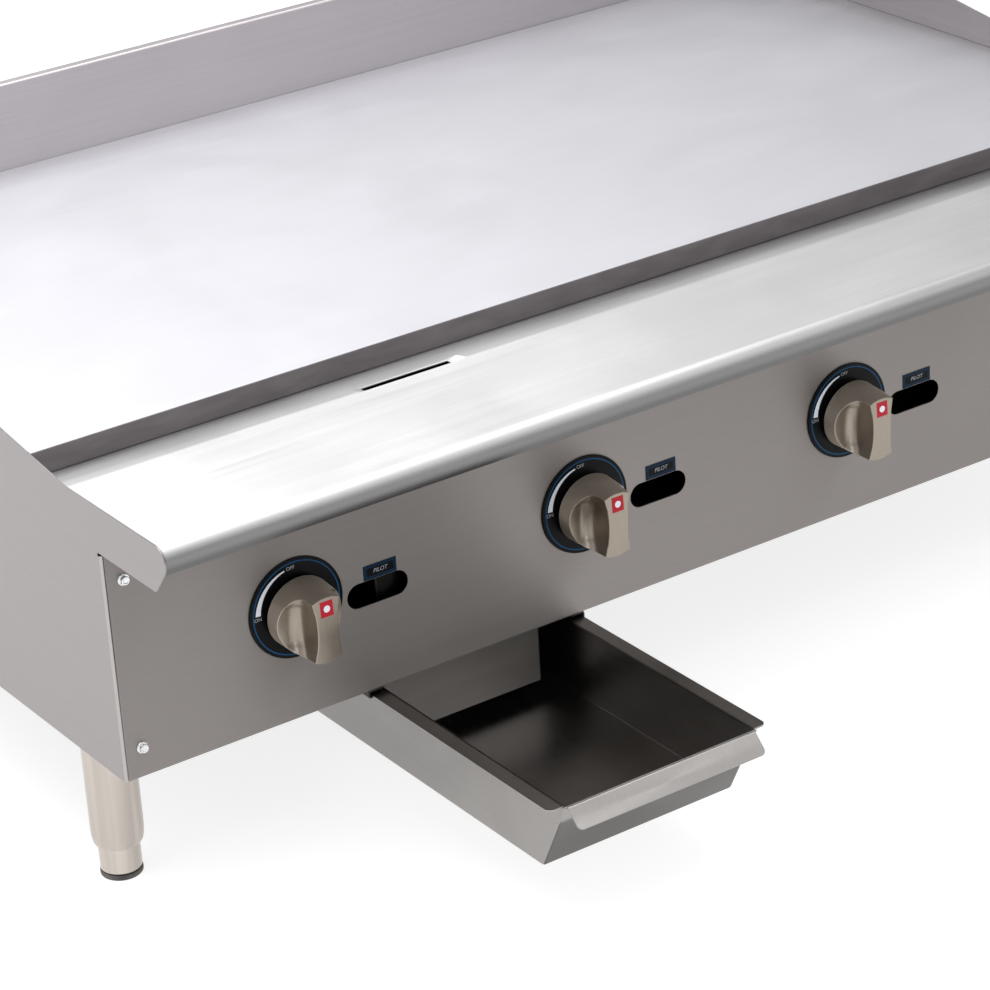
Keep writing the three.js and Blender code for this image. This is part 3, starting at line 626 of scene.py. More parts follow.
def turned(profile, segments=64, closed=False):
    """A body turned about the vertical axis from (radius, height) pairs. The profile starts and
    ends on the axis, or closes on itself."""
    bm = bmesh.new()
    rows = []
    for radius, height in profile:
        if radius < 1e-7:
            rows.append([bm.verts.new((0, 0, height))])
            continue
        ring = []
        for i in range(segments):
            angle = 2 * math.pi * i / segments
            ring.append(bm.verts.new((radius * math.cos(angle), radius * math.sin(angle), height)))
        rows.append(ring)
    pairs = list(zip(rows, rows[1:]))
    if closed:
        pairs.append((rows[-1], rows[0]))
    for lower, upper in pairs:
        for i in range(segments):
            j = (i + 1) % segments
            if len(lower) == 1:
                bm.faces.new((lower[0], upper[j], upper[i]))
            elif len(upper) == 1:
                bm.faces.new((lower[i], lower[j], upper[0]))
            else:
                bm.faces.new((lower[i], lower[j], upper[j], upper[i]))
    bmesh.ops.recalc_face_normals(bm, faces=bm.faces)
    return bm


def eased(before, corner, after, radius, steps=3):
    """Points of a curve that rounds one corner."""
    into, out = before - corner, after - corner
    reach = min(radius, into.length * 0.45, out.length * 0.45)
    start = corner + into.normalized() * reach
    end = corner + out.normalized() * reach
    shares = [i / steps for i in range(steps + 1)]
    return [start.lerp(corner, share).lerp(corner.lerp(end, share), share) for share in shares]


def softened(profile, radius, steps=3):
    """A (radius, height) profile with its inner corners rounded, apart from its two ends."""
    result = [profile[0]]
    for before, corner, after in zip(profile, profile[1:], profile[2:]):
        corner_points = eased(Vector(before), Vector(corner), Vector(after), radius, steps)
        result += [(spot.x, spot.y) for spot in corner_points]
    result.append(profile[-1])
    return result


TOWARDS_COOK = Matrix.Rotation(math.radians(90), 4, "X")


def facing_cook(bm, x, y, z):
    """Turns a body made about the vertical axis to stand out of the control panel."""
    bmesh.ops.transform(bm, matrix=Matrix.Translation((x, y, z)) @ TOWARDS_COOK, verts=bm.verts)
    return bm


def shifted(bm, x, y, z):
    bmesh.ops.translate(bm, vec=(x, y, z), verts=bm.verts)
    return bm


def mesh_of(name, bm):
    mesh = bpy.data.meshes.new(name)
    bm.to_mesh(mesh)
    bm.free()
    return mesh


def add_object(name, mesh):
    obj = bpy.data.objects.new(name, mesh)
    bpy.context.scene.collection.objects.link(obj)
    return obj


def settled(obj):
    """Puts an object's modifiers into its mesh."""
    graph = bpy.context.evaluated_depsgraph_get()
    graph.update()
    mesh = bpy.data.meshes.new_from_object(obj.evaluated_get(graph))
    obj.modifiers.clear()
    obj.data = mesh
    mesh.name = obj.name
    return obj


def carve(obj, tools):
    """Cuts holes in an object with closed tools, which are then thrown away."""
    joined = bmesh.new()
    for tool in tools:
        scratch = mesh_of("tool", tool)
        joined.from_mesh(scratch)
        bpy.data.meshes.remove(scratch)
    cutter = add_object("cutter", mesh_of("cutter", joined))
    boolean = obj.modifiers.new("holes", "BOOLEAN")
    boolean.operation = "DIFFERENCE"
    boolean.solver = "EXACT"
    boolean.object = cutter
    settled(obj)
    bpy.data.objects.remove(cutter)
    return obj


def shade(obj, edge=0.3 * MM, angle=32.0, segments=2):
    """Rounds the sharp edges and keeps the flat faces flat."""
    for polygon in obj.data.polygons:
        polygon.use_smooth = True
    if edge:
        bevel = obj.modifiers.new("edges", "BEVEL")
        bevel.width = edge
        bevel.segments = segments
        bevel.limit_method = "ANGLE"
        bevel.angle_limit = math.radians(angle)
        bevel.use_clamp_overlap = True
        weighted = obj.modifiers.new("flat_faces", "WEIGHTED_NORMAL")
        weighted.keep_sharp = True
    else:
        obj.data.set_sharp_from_angle(angle=math.radians(angle))
    return obj


def thicken(obj):
    """Gives a skin the thickness of the sheet, inwards."""
    thick = obj.modifiers.new("thickness", "SOLIDIFY")
    thick.thickness = SHEET
    thick.offset = -1.0
    thick.use_even_offset = True


def finish_piece(obj, body, material, replaces=()):
    obj.data.materials.clear()
    obj.data.materials.append(MATERIALS[material])
    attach(obj, body)
    if replaces:
        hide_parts(*replaces)
    return obj


def sheet_piece(name, bm, material, tools=(), angle=32.0):
    """A piece of sheet metal that stands for the CAD node of the same name."""
    obj = add_object(f"{name}_sheet", mesh_of(name, bm))
    if tools:
        carve(obj, tools)
    shade(obj, angle=angle)
    return finish_piece(obj, "root", material, [name])


# ---------------------------------------------------------------- splashes and ledge


def add_rear_splash():
    low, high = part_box("splash_rear")
    side = [point(high.y, high.z), point(low.y, high.z), point(low.y, low.z)]
    outline = folded(side)
    sheet_piece(
        "splash_rear", lofted([along_x(outline, low.x), along_x(outline, high.x)], ladder=True),
        "splash",
    )


def splash_outline(low, high):
    """End cap of the ledge, splash beside the plate and lap over the side panel, in one sheet."""
    nose_y = ledge_low.y + NOSE_RADIUS
    nose_z = ledge_high.z - NOSE_RADIUS
    lip_angle = 216
    corner = 5 * MM
    return [
        *arc(high.y - corner, high.z - corner, corner, 0, 90, 5),
        point(plate_high.y, high.z),
        point(TROUGH_FRONT - 4 * MM, ledge_high.z + 0.5 * MM),
        *arc(nose_y, nose_z, NOSE_RADIUS + 0.5 * MM, 90, lip_angle, 24),
        *arc(PANEL_FACE - SPLASH_LAP, low.z + corner, corner, lip_angle, 270, 6),
        point(high.y, low.z),
    ]


def add_side_splash(side):
    name = f"splash_{side}"
    low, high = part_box(name)
    outline = splash_outline(low, high)
    sheet_piece(name, prism(outline, along_x, low.x, high.x), "side", angle=25.0)


def trough_height(y):
    start = ledge_high.z - LEDGE_DROP
    end = plate_low.z - GAP
    return start + (end - start) * (y - TROUGH_FRONT) / (plate_low.y - TROUGH_FRONT)


def ledge_line(scooped):
    """Top side of the ledge from under the plate to the fold under the nose. The scoop is pressed
    down from the same points, so that the plain and the scooped line match."""
    fold = trough_height(TROUGH_FRONT)
    floor = fold - SCOOP_DEPTH if scooped else None
    tuck = trough_height(plate_low.y)
    slot_back = SCOOP_FRONT + SLOT_WIDTH
    nose_y = ledge_low.y + NOSE_RADIUS
    nose_z = ledge_high.z - NOSE_RADIUS
    roll = arc(nose_y, nose_z, NOSE_RADIUS, 90, 230, 28)
    floor_back = slot_back + 3 * MM
    return [
        point(ledge_high.y, tuck),
        point(plate_low.y - 1 * MM, tuck),
        point(SCOOP_BACK, trough_height(SCOOP_BACK)),
        point(floor_back, floor or trough_height(floor_back)),
        point(slot_back, floor or trough_height(slot_back)),
        point(SCOOP_FRONT + (0 if scooped else 2 * MM), floor or fold + 0.04 * MM),
        point(SCOOP_FRONT, fold + 0.1 * MM),
        *roll,
        point(roll[-1].x + NOSE_FOLD, roll[-1].y),
    ]


def add_ledge():
    """Rolled nose, ledge and trough as one sheet, with the scoop and its open slot."""
    plain, scooped = ledge_line(False), ledge_line(True)
    inner, outer = SLOT_LENGTH / 2, SLOT_LENGTH / 2 + SCOOP_SPREAD
    sections = [
        (-HALF, plain), (SLOT_CENTRE - outer, plain), (SLOT_CENTRE - inner, scooped),
        (SLOT_CENTRE + inner, scooped), (SLOT_CENTRE + outer, plain), (HALF, plain),
    ]
    slot_rows = (2, 4)          # the section before the slot, and the point at its back edge
    bm = bmesh.new()
    rows = [[bm.verts.new((x, p.x, p.y)) for p in line] for x, line in sections]
    for i, (left, right) in enumerate(zip(rows, rows[1:])):
        for j in range(len(left) - 1):
            if (i, j) != slot_rows:
                bm.faces.new((left[j], right[j], right[j + 1], left[j + 1]))
    for face in bm.faces:
        face.normal_flip()
    bm.normal_update()
    obj = add_object("front_ledge_sheet", mesh_of("front_ledge", bm))
    thicken(obj)
    shade(obj, edge=0.5 * MM, angle=16.0, segments=3)
    finish_piece(obj, "root", "ledge", ["front_ledge"])


# ---------------------------------------------------------------- cabinet


def knob_axis(number):
    """Where a knob's shaft comes through the control panel."""
    low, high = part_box(f"knob_{number}")
    middle = (low + high) / 2
    return middle.x, middle.z


def through(outline):
    """A tool that goes through the control panel and the returns behind it."""
    return prism(outline, along_y, PANEL_FACE - 2 * MM, PANEL_FACE + 5 * MM)


def box_tool(x0, x1, y0, y1, z0, z1):
    return prism(rectangle(x0, x1, y0, y1), along_z, z0, z1)


def screw_places():
    for number in STATIONS:
        low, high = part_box(f"panel_screw_{number}")
        middle = (low + high) / 2
        yield number, middle.x, middle.z


def add_control_panel():
    low, high = panel_low, panel_high
    side = [point(low.y, high.z), point(low.y, low.z), point(low.y + PANEL_RETURN, low.z)]
    outline = folded(side)
    tools = []
    for number in STATIONS:
        x, z = knob_axis(number)
        tools.append(through(circle(x, z, SHAFT_HOLE)))
        slot = stadium(
            x + PILOT_SLOT["offset"], z - PILOT_SLOT["drop"], PILOT_SLOT["width"], PILOT_SLOT["height"],
        )
        tools.append(through(slot))
    for end in (-HALF, HALF):
        notch = SIDE_RETURN + 2 * MM
        tools.append(box_tool(
            end - notch, end + notch, low.y + 3.5 * MM, high.y + 1 * MM, low.z - 1 * MM, low.z + 4 * MM,
        ))
    bm = lofted([along_x(outline, low.x), along_x(outline, high.x)], ladder=True)
    sheet_piece("control_panel", bm, "panel", tools=tools)


def add_side_panel(side):
    """Side wall with a return behind the control panel and one before the rear panel."""
    name = f"side_panel_{side}"
    low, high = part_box(name)
    hand = -1 if side == "left" else 1
    outer = hand * HALF
    inner = outer - hand * SIDE_RETURN
    line = [point(inner, high.y), point(outer, high.y), point(outer, low.y), point(inner, low.y)]
    if hand > 0:
        line.reverse()
    outline = folded(line)
    bm = lofted([along_z(outline, low.z), along_z(outline, high.z)], ladder=True)
    relief = box_tool(
        outer - 2 * SIDE_RETURN, outer + 2 * SIDE_RETURN, low.y - 1 * MM, low.y + 3 * MM,
        RETURN_TOP, high.z + 1 * MM,
    )
    sheet_piece(name, bm, "side_panel", tools=[relief])


def add_rear_panel():
    low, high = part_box("rear_panel")
    pipe_low, pipe_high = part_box("gas_inlet_pipe")
    pipe = (pipe_low + pipe_high) / 2
    radius = (pipe_high.x - pipe_low.x) / 2 + 2 * MM
    outline = rectangle(low.x, high.x, low.y, high.y)
    hole = prism(circle(pipe.x, pipe.z, radius), along_y, low.y - 1 * MM, high.y + 1 * MM)
    sheet_piece("rear_panel", prism(outline, along_z, low.z, high.z), "splash", tools=[hole])


# ---------------------------------------------------------------- grease parts


def tray_section(y, height):
    """U of the tub at distance y, its lower corners rounded while there is height for it."""
    radius = min(INNER_BEND + SHEET, height * 0.45)
    bottom = TRAY_TOP - height
    left = arc(TRAY_CENTRE - TRAY_HALF + radius, bottom + radius, radius, 180, 270, 4)
    right = arc(TRAY_CENTRE + TRAY_HALF - radius, bottom + radius, radius, 270, 360, 4)
    line = [
        point(TRAY_CENTRE - TRAY_HALF, TRAY_TOP), *left, *right, point(TRAY_CENTRE + TRAY_HALF, TRAY_TOP),
    ]
    return [Vector((p.x, y, p.y)) for p in line]


def tray_tub():
    """Sloping front wall, floor and side walls in one skin, and the rear wall across its end."""
    fold = TRAY_FRONT + TRAY_SLOPE
    lean = TRAY_SLOPE / TRAY_DEPTH
    bend = 2.5 * MM
    sections = [tray_section(TRAY_FRONT + 0.3 * MM, 0.3 * MM / lean)]
    sections.append(tray_section(TRAY_FRONT + 3 * MM, 3 * MM / lean))
    sections.append(tray_section(TRAY_FRONT + TRAY_SLOPE / 2, TRAY_DEPTH / 2))
    for share in (0.0, 0.25, 0.5, 0.75, 1.0):
        start = Vector((fold - bend * lean, TRAY_DEPTH - bend))
        corner = Vector((fold, TRAY_DEPTH))
        end = Vector((fold + bend * 1.1, TRAY_DEPTH))
        spot = start.lerp(corner, share).lerp(corner.lerp(end, share), share)
        sections.append(tray_section(spot.x, spot.y))
    sections.append(tray_section(tray_high.y, TRAY_DEPTH))
    bm = bmesh.new()
    rows = [[bm.verts.new(p) for p in section] for section in sections]
    for front, back in zip(rows, rows[1:]):
        for i in range(len(front) - 1):
            bm.faces.new((front[i], back[i], back[i + 1], front[i + 1]))
    bm.faces.new(rows[-1][::-1])
    bm.normal_update()
    return bm


def tray_flange(hand):
    """Flat strip beside the tub, rounded at its front corner."""
    inside = TRAY_HALF - SHEET
    reach = TRAY_HALF + TRAY_FLANGE
    corner = 6 * MM
    start = TRAY_FRONT + 4 * MM
    outline = [
        point(inside, start),
        *arc(reach - corner, start + corner, corner, -90, 0, 8),
        point(reach, tray_high.y),
        point(inside, tray_high.y),
    ]
    outline = [point(TRAY_CENTRE + hand * p.x, p.y) for p in outline]
    return prism(outline, along_z, TRAY_TOP - SHEET, TRAY_TOP)


def tray_lip():
    """Folded lip whose lower corners are rounded off."""
    half = TRAY_HALF - LIP_INSET
    slant = point(-1, -1).normalized()
    length = LIP_RUN * math.sqrt(2)
    top = point(TRAY_FRONT, TRAY_TOP - SHEET)
    stations = []
    for i in range(7):
        angle = math.radians(90 * i / 6)
        stations.append((LIP_CORNER * (1 - math.cos(angle)), LIP_CORNER * (1 - math.sin(angle))))
    rings = []
    ends = [(-half + inset, cut) for inset, cut in stations]
    ends += [(half - inset, cut) for inset, cut in reversed(stations)]
    for x, cut in ends:
        tip = top + slant * (length - cut)
        outline = folded([tip, top, point(TRAY_FRONT + 3 * MM, top.y)], inner=0.8 * MM)
        rings.append([Vector((TRAY_CENTRE + x, p.x, p.y)) for p in outline])
    return lofted(rings, ladder=True)


def add_tray():
    tub = add_object("drip_tray_tub", mesh_of("drip_tray_tub", tray_tub()))
    thicken(tub)
    shade(tub, edge=0.35 * MM)
    finish_piece(tub, "drip_tray", "tray", ["drip_tray"])
    for side, hand in (("left", -1), ("right", 1)):
        flange = add_object(f"drip_tray_flange_{side}", mesh_of("flange", tray_flange(hand)))
        finish_piece(shade(flange, edge=0.35 * MM, angle=25.0), "drip_tray", "tray")
    lip = add_object("drip_tray_lip", mesh_of("lip", tray_lip()))
    finish_piece(shade(lip, edge=0.35 * MM, angle=25.0), "drip_tray", "tray")


def add_chute():
    """Rectangular duct with rounded folds."""
    low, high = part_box("grease_chute")
    radius = 2.5 * MM
    outline = [
        *arc(high.x - radius, high.y - radius, radius, 0, 90, 4),
        *arc(low.x + radius, high.y - radius, radius, 90, 180, 4),
        *arc(low.x + radius, low.y + radius, radius, 180, 270, 4),
        *arc(high.x - radius, low.y + radius, radius, 270, 360, 4),
    ]
    bm = lofted([along_z(outline, low.z), along_z(outline, high.z)], caps=False)
    obj = add_object("grease_chute_duct", mesh_of("grease_chute", bm))
    thicken(obj)
    shade(obj, edge=0.3 * MM)
    finish_piece(obj, "root", "chute", ["grease_chute"])


def add_rail(side):
    """Channel that holds the tray's flange."""
    name = f"tray_rail_{side}"
    low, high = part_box(name)
    hand = -1 if side == "left" else 1
    web = high.x if hand > 0 else low.x
    upper = 13 * MM + SHEET
    lower = 11 * MM + SHEET
    line = [
        point(web - hand * lower, low.z), point(web, low.z),
        point(web, high.z), point(web - hand * upper, high.z),
    ]
    if hand < 0:
        line.reverse()
    outline = folded(line, inner=0.5 * MM)
    bm = lofted([along_y(outline, low.y), along_y(outline, high.y)], ladder=True)
    sheet_piece(name, bm, "rail")


# ---------------------------------------------------------------- knobs, dials and labels


def blank_profile():
    """(radius, height) points of the turned blank, from its back edge to the middle of its front."""
    def dome(radius):
        return KNOB_FRONT - KNOB_DOME * (radius / KNOB_TIP) ** 2
    steps = 8
    inner = KNOB_TIP - KNOB_CORNER
    corner = eased(
        point(KNOB_RADIUS, KNOB_BACK), point(KNOB_TIP, dome(KNOB_TIP)), point(inner, dome(inner)),
        2 * KNOB_CORNER, 6,
    )
    side = point(KNOB_RADIUS, KNOB_BACK)
    wall = [side.lerp(corner[0], i / steps) for i in range(steps)]
    front = [point(inner * i / steps, dome(inner * i / steps)) for i in range(steps - 1, -1, -1)]
    return wall + corner + front


def looked_up(pairs, value):
    """Straight-line value between (key, value) pairs whose keys go down."""
    for (key, result), (next_key, next_result) in zip(pairs, pairs[1:]):
        if value >= next_key:
            share = (value - next_key) / (key - next_key)
            return next_result + (result - next_result) * min(1.0, share)
    return pairs[-1][1]


def grip_section(reach, heights):
    """Half of the casting's section, from the middle of its back to that of its front. The section
    reaches a distance above or below the shaft. Towards the ends it bends round with the blank."""
    share = (reach / KNOB_TIP) ** 2
    bend = min(1.0, max(0.0, (abs(reach) - BEND_START) / (BEND_END - BEND_START)))
    bend = bend * bend * (3 - 2 * bend)
    wall = GRIP_WAIST + GRIP_FLARE * share
    floor = KNOB_FLOOR + KNOB_CRADLE * share

    def level(x):
        return math.copysign(math.sqrt(reach ** 2 - bend * min(x, wall) ** 2), reach)

    def height(x):
        return looked_up(heights, math.hypot(x, level(x)))

    def scoop(way):
        """0 to 1 along the scoop's floor, 1 to 2 round the fillet, and 2 to 3 up the grip."""
        if way < 1:
            spot = point(KNOB_RADIUS + (wall + GRIP_FILLET - KNOB_RADIUS) * way, floor)
        elif way < 2:
            angle = math.radians(270 - 90 * (way - 1))
            centre = point(wall + GRIP_FILLET, floor + GRIP_FILLET)
            spot = centre + GRIP_FILLET * point(math.cos(angle), math.sin(angle))
        else:
            start = floor + GRIP_FILLET
            spot = point(wall, start + (KNOB_FRONT - start) * (way - 2))
        return spot

    def buried(way):
        spot = scoop(way)
        return spot.y < height(spot.x)

    def clipped(way):
        spot = scoop(way)
        return point(spot.x, min(spot.y, height(spot.x)))

    trials = [3 * i / 90 for i in range(91)]
    inside = next((way for way in trials if buried(way)), 3.0)
    outside = max(0.0, inside - 3 / 90)
    for _ in range(20):
        way = (outside + inside) / 2
        inside, outside = (way, outside) if buried(way) else (inside, way)
    end = next((way for way in trials if way > inside and not buried(way)), 3.0)
    steps = 16
    path = [clipped(inside + (end - inside) * i / steps) for i in range(steps)]
    top = point(wall, height(wall))
    rim = path[0]
    brink = math.sqrt(KNOB_RADIUS ** 2 - level(wall) ** 2)
    back = [point(wall * i / 6, KNOB_BACK) for i in range(7)]
    skirt = []
    for i in range(10):
        x = brink + (rim.x - brink) * (i / 10)
        skirt.append(point(x, height(x)))
    skirt[0] = point(brink, KNOB_BACK)
    front = [point(wall * i / 6, height(wall * i / 6)) for i in range(5, -1, -1)]
    half = [
        *back, *skirt, *eased(skirt[-1], rim, path[1], KNOB_RIM),
        *path[2:-1], *eased(path[-1], top, front[0], KNOB_RIM), *front,
    ]
    return [Vector((p.x, -p.y, level(p.x))) for p in half]


def knob_mesh():
    """The casting as a row of sections, each a turned blank's with a scoop on both sides."""
    heights = [(spot.x, spot.y) for spot in blank_profile()]
    ends = [radius for radius, _ in heights if radius > KNOB_TIP - KNOB_CORNER * 1.5]
    upper = ends + [ends[-1] * math.sin(math.pi / 2 * i / 40) for i in range(39, 0, -1)]
    rings = []
    for reach in [*upper, 0.0, *[-reach for reach in reversed(upper)]]:
        half = grip_section(reach, heights)
        rings.append(half + [Vector((-p.x, p.y, p.z)) for p in half[-2:0:-1]])
    bm = lofted(rings, caps=False)
    bmesh.ops.remove_doubles(bm, verts=bm.verts, dist=0.02 * MM)
    bmesh.ops.recalc_face_normals(bm, faces=bm.faces)
    obj = add_object("knob_casting", mesh_of("knob_casting", bm))
    shade(obj, edge=0, angle=50)
    weighted = obj.modifiers.new("flat_faces", "WEIGHTED_NORMAL")
    weighted.keep_sharp = True
    mesh = settled(obj).data
    bpy.data.objects.remove(obj)
    return mesh


def ribbon(inner, outer, start, end, steps, thickness):
    """Flat printed arc about the dial's centre. The radii are functions of the share of the way."""
    rings = []
    for i in range(steps + 1):
        share = i / steps
        angle = math.radians(start + (end - start) * share)
        a, b = inner(share), outer(share)
        ring = [(a, 0), (b, 0), (b, thickness), (a, thickness)]
        rings.append([Vector((r * math.cos(angle), r * math.sin(angle), h)) for r, h in ring])
    bm = bmesh.new()
    if end - start >= 360:
        rows = [[bm.verts.new(p) for p in ring] for ring in rings[:-1]]
        skin(bm, [*rows, rows[0]])
    else:
        add_loft(bm, rings)
    bmesh.ops.recalc_face_normals(bm, faces=bm.faces)
    return bm


def add_word(name, word, size, x, y, z, slant=0.0):
    """A printed word in a plain letter."""
    curve = bpy.data.curves.new(name, "FONT")
    curve.body = word
    curve.size = size
    curve.extrude = 0.03 * MM
    curve.align_x = "CENTER"
    curve.align_y = "CENTER"
    curve.shear = slant
    obj = add_object(name, curve)
    obj.matrix_world = Matrix.Translation((x, y, z)) @ TOWARDS_COOK
    graph = bpy.context.evaluated_depsgraph_get()
    mesh = bpy.data.meshes.new_from_object(obj.evaluated_get(graph))
    mesh.transform(obj.matrix_world)
    bpy.data.objects.remove(obj)
    return finish_piece(add_object(name, mesh), "root", "print_grey")


def add_dial(number):
    x, z = knob_axis(number)
    name = f"knob_bezel_{number}"
    low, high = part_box(name)
    radius = (high.x - low.x) / 2
    thickness = high.y - low.y
    profile = [(SHAFT_HOLE, 0), (radius, 0), (radius, thickness), (SHAFT_HOLE, thickness)]
    disc = turned(softened(profile, 0.5 * MM), 96, closed=True)
    obj = add_object(f"dial_disc_{number}", mesh_of(name, facing_cook(disc, x, high.y, z)))
    shade(obj, edge=0)
    finish_piece(obj, "root", "dial", [name])
    face = low.y
    half = 0.55 * MM
    ring = ribbon(lambda s: RING_RADIUS - half, lambda s: RING_RADIUS + half, 0, 360, 120, PRINT)
    add_print(f"dial_ring_{number}", ring, x, face, z, "dial_blue")

    def reach(share):
        return SWEEP["thin"] + (SWEEP["thick"] - SWEEP["thin"]) * share

    sweep = ribbon(
        lambda s: ARC_RADIUS - reach(s), lambda s: ARC_RADIUS + reach(s),
        SWEEP["start"], SWEEP["end"], 40, PRINT,
    )
    add_print(f"dial_sweep_{number}", sweep, x, face, z, "dial_white")
    add_word(f"dial_off_{number}", "OFF", LETTERS["dial"], x - 2.9 * MM, face, z + 36.6 * MM)
    add_word(f"dial_on_{number}", "ON", LETTERS["dial"], x - 37 * MM, face, z + 0.6 * MM)


def add_print(name, bm, x, y, z, material):
    obj = add_object(name, mesh_of(name, facing_cook(bm, x, y, z)))
    return finish_piece(obj, "root", material)


def frame_ribbon(width, height, line, thickness):
    """A printed rectangular border."""
    bm = bmesh.new()
    outer = rectangle(-width / 2, width / 2, -height / 2, height / 2)
    inner = [(a - math.copysign(line, a), b - math.copysign(line, b)) for a, b in outer]
    rows = []
    for (a, b), (c, d) in zip(outer, inner):
        ring = [(a, b, 0), (c, d, 0), (c, d, thickness), (a, b, thickness)]
        rows.append([bm.verts.new(p) for p in ring])
    skin(bm, [*rows, rows[0]])
    bmesh.ops.recalc_face_normals(bm, faces=bm.faces)
    return bm


def add_pilot_label(number):
    """Small black plate above the pilot slot, with a double border."""
    x, z = knob_axis(number)
    x += LABEL["offset"]
    z += LABEL["rise"]
    width, height = LABEL["width"], LABEL["height"]
    outline = rectangle(-width / 2, width / 2, -height / 2, height / 2)
    thickness = 0.4 * MM
    plate = facing_cook(prism(outline, along_z, 0, thickness), x, PANEL_FACE, z)
    obj = add_object(f"pilot_label_{number}", mesh_of("pilot_label", plate))
    finish_piece(shade(obj, edge=0.12 * MM), "root", "dial")
    face = PANEL_FACE - thickness
    for step, inset in enumerate((0.7, 2.2)):
        border = frame_ribbon(width - 2 * inset * MM, height - 2 * inset * MM, 0.35 * MM, PRINT)
        add_print(f"pilot_border_{number}_{step + 1}", border, x, face, z, "dial_blue")
    add_word(f"pilot_word_{number}", "PILOT", LETTERS["pilot"], x, face, z, slant=0.25)


def laid_on(bm, tree, lift):
    """Presses a body made in front of the grip back onto it, as a label follows a curved face."""
    for vert in bm.verts:
        start = Vector((vert.co.x, -2 * KNOB_FRONT, vert.co.z))
        hit = tree.ray_cast(start, Vector((0, 1, 0)))[0]
        vert.co.y = hit.y - lift - vert.co.y
    return bm


def strip_patch(width, height, thickness, steps=10):
    """Rectangle in front of the panel, cut into strips so that it can bend."""
    rings = []
    for i in range(steps + 1):
        z = height * (i / steps - 0.5)
        row = [width * (j / steps - 0.5) for j in range(steps + 1)]
        rings.append([Vector((x, thickness, z)) for x in row] + [Vector((x, 0, z)) for x in row[::-1]])
    return lofted(rings)


def knob_place(x, z):
    """Where a knob made about the panel's face goes, sagging a little."""
    pivot = Matrix.Translation((x, PANEL_FACE + DROOP_PIVOT, z))
    sag = Matrix.Rotation(math.radians(KNOB_DROOP), 4, "X")
    return pivot @ sag @ Matrix.Translation((0, -DROOP_PIVOT, 0))


def knob_mark(number, tree, x, z):
    """Small red tile near the top of the grip, with a plain white dot."""
    body = f"knob_{number}"
    tile = strip_patch(TILE["width"], TILE["height"], TILE["thickness"])
    tile = shifted(tile, 0, 0, TILE["rise"])
    obj = add_object(f"knob_tile_{number}", mesh_of("knob_tile", laid_on(tile, tree, 0)))
    obj.matrix_world = knob_place(x, z)
    finish_piece(shade(obj, edge=0), body, "mark_red")
    dot = turned([(0, 0), (DOT_RADIUS, 0), (DOT_RADIUS, PRINT), (0, PRINT)], 40)
    bmesh.ops.rotate(dot, matrix=Matrix.Rotation(math.radians(-90), 3, "X"), verts=dot.verts)
    dot = shifted(dot, 0, 0, TILE["rise"])
    obj = add_object(f"knob_dot_{number}", mesh_of("knob_dot", laid_on(dot, tree, TILE["thickness"])))
    obj.matrix_world = knob_place(x, z)
    finish_piece(shade(obj, edge=0), body, "dial_white")


def add_knobs():
    mesh = knob_mesh()
    mesh.materials.clear()
    mesh.materials.append(MATERIALS["knob"])
    tree = BVHTree.FromPolygons(
        [vert.co for vert in mesh.vertices], [polygon.vertices for polygon in mesh.polygons],
    )
    for number in STATIONS:
        x, z = knob_axis(number)
        obj = add_object(f"knob_casting_{number}", mesh)
        obj.matrix_world = knob_place(x, z)
        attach(obj, f"knob_{number}")
        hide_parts(f"knob_{number}")
        knob_mark(number, tree, x, z)


# ---------------------------------------------------------------- screws and legs


def hexagon_ring(apothem, limit, height, segments=48):
    """A hexagon whose corners are cut to a limiting radius."""
    ring = []
    for i in range(segments):
        angle = 2 * math.pi * i / segments
        within = (angle + math.pi / 6) % (math.pi / 3) - math.pi / 6
        radius = min(apothem / math.cos(within), limit)
        ring.append(Vector((radius * math.cos(angle), radius * math.sin(angle), height)))
    return ring


def add_screw(number, x, z):
    """Washer-faced hexagon screw."""
    washer = [(0, 0), (5.4, 0), (5.4, 0.7), (4.9, 1.3), (3.9, 1.6), (0, 1.6)]
    bm = turned(softened([(r * MM, h * MM) for r, h in washer], 0.25 * MM), 48)
    head = [
        hexagon_ring(3.5 * MM, 9 * MM, 1.4 * MM), hexagon_ring(3.5 * MM, 9 * MM, 3.6 * MM),
        hexagon_ring(3.5 * MM, 3.75 * MM, 4.1 * MM), hexagon_ring(3.5 * MM, 3.3 * MM, 4.4 * MM),
        hexagon_ring(3.5 * MM, 2.5 * MM, 4.45 * MM), hexagon_ring(3.5 * MM, 1.9 * MM, 4.0 * MM),
    ]
    add_loft(bm, head)
    bmesh.ops.recalc_face_normals(bm, faces=bm.faces)
    obj = add_object(f"panel_screw_head_{number}", mesh_of("panel_screw", facing_cook(bm, x, PANEL_FACE, z)))
    shade(obj, edge=0, angle=28)
    finish_piece(obj, "root", "zinc", [f"panel_screw_{number}"])


def node_axis(name):
    low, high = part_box(name)
    return (low.x + high.x) / 2, (low.y + high.y) / 2, low.z, high.z, (high.x - low.x) / 2


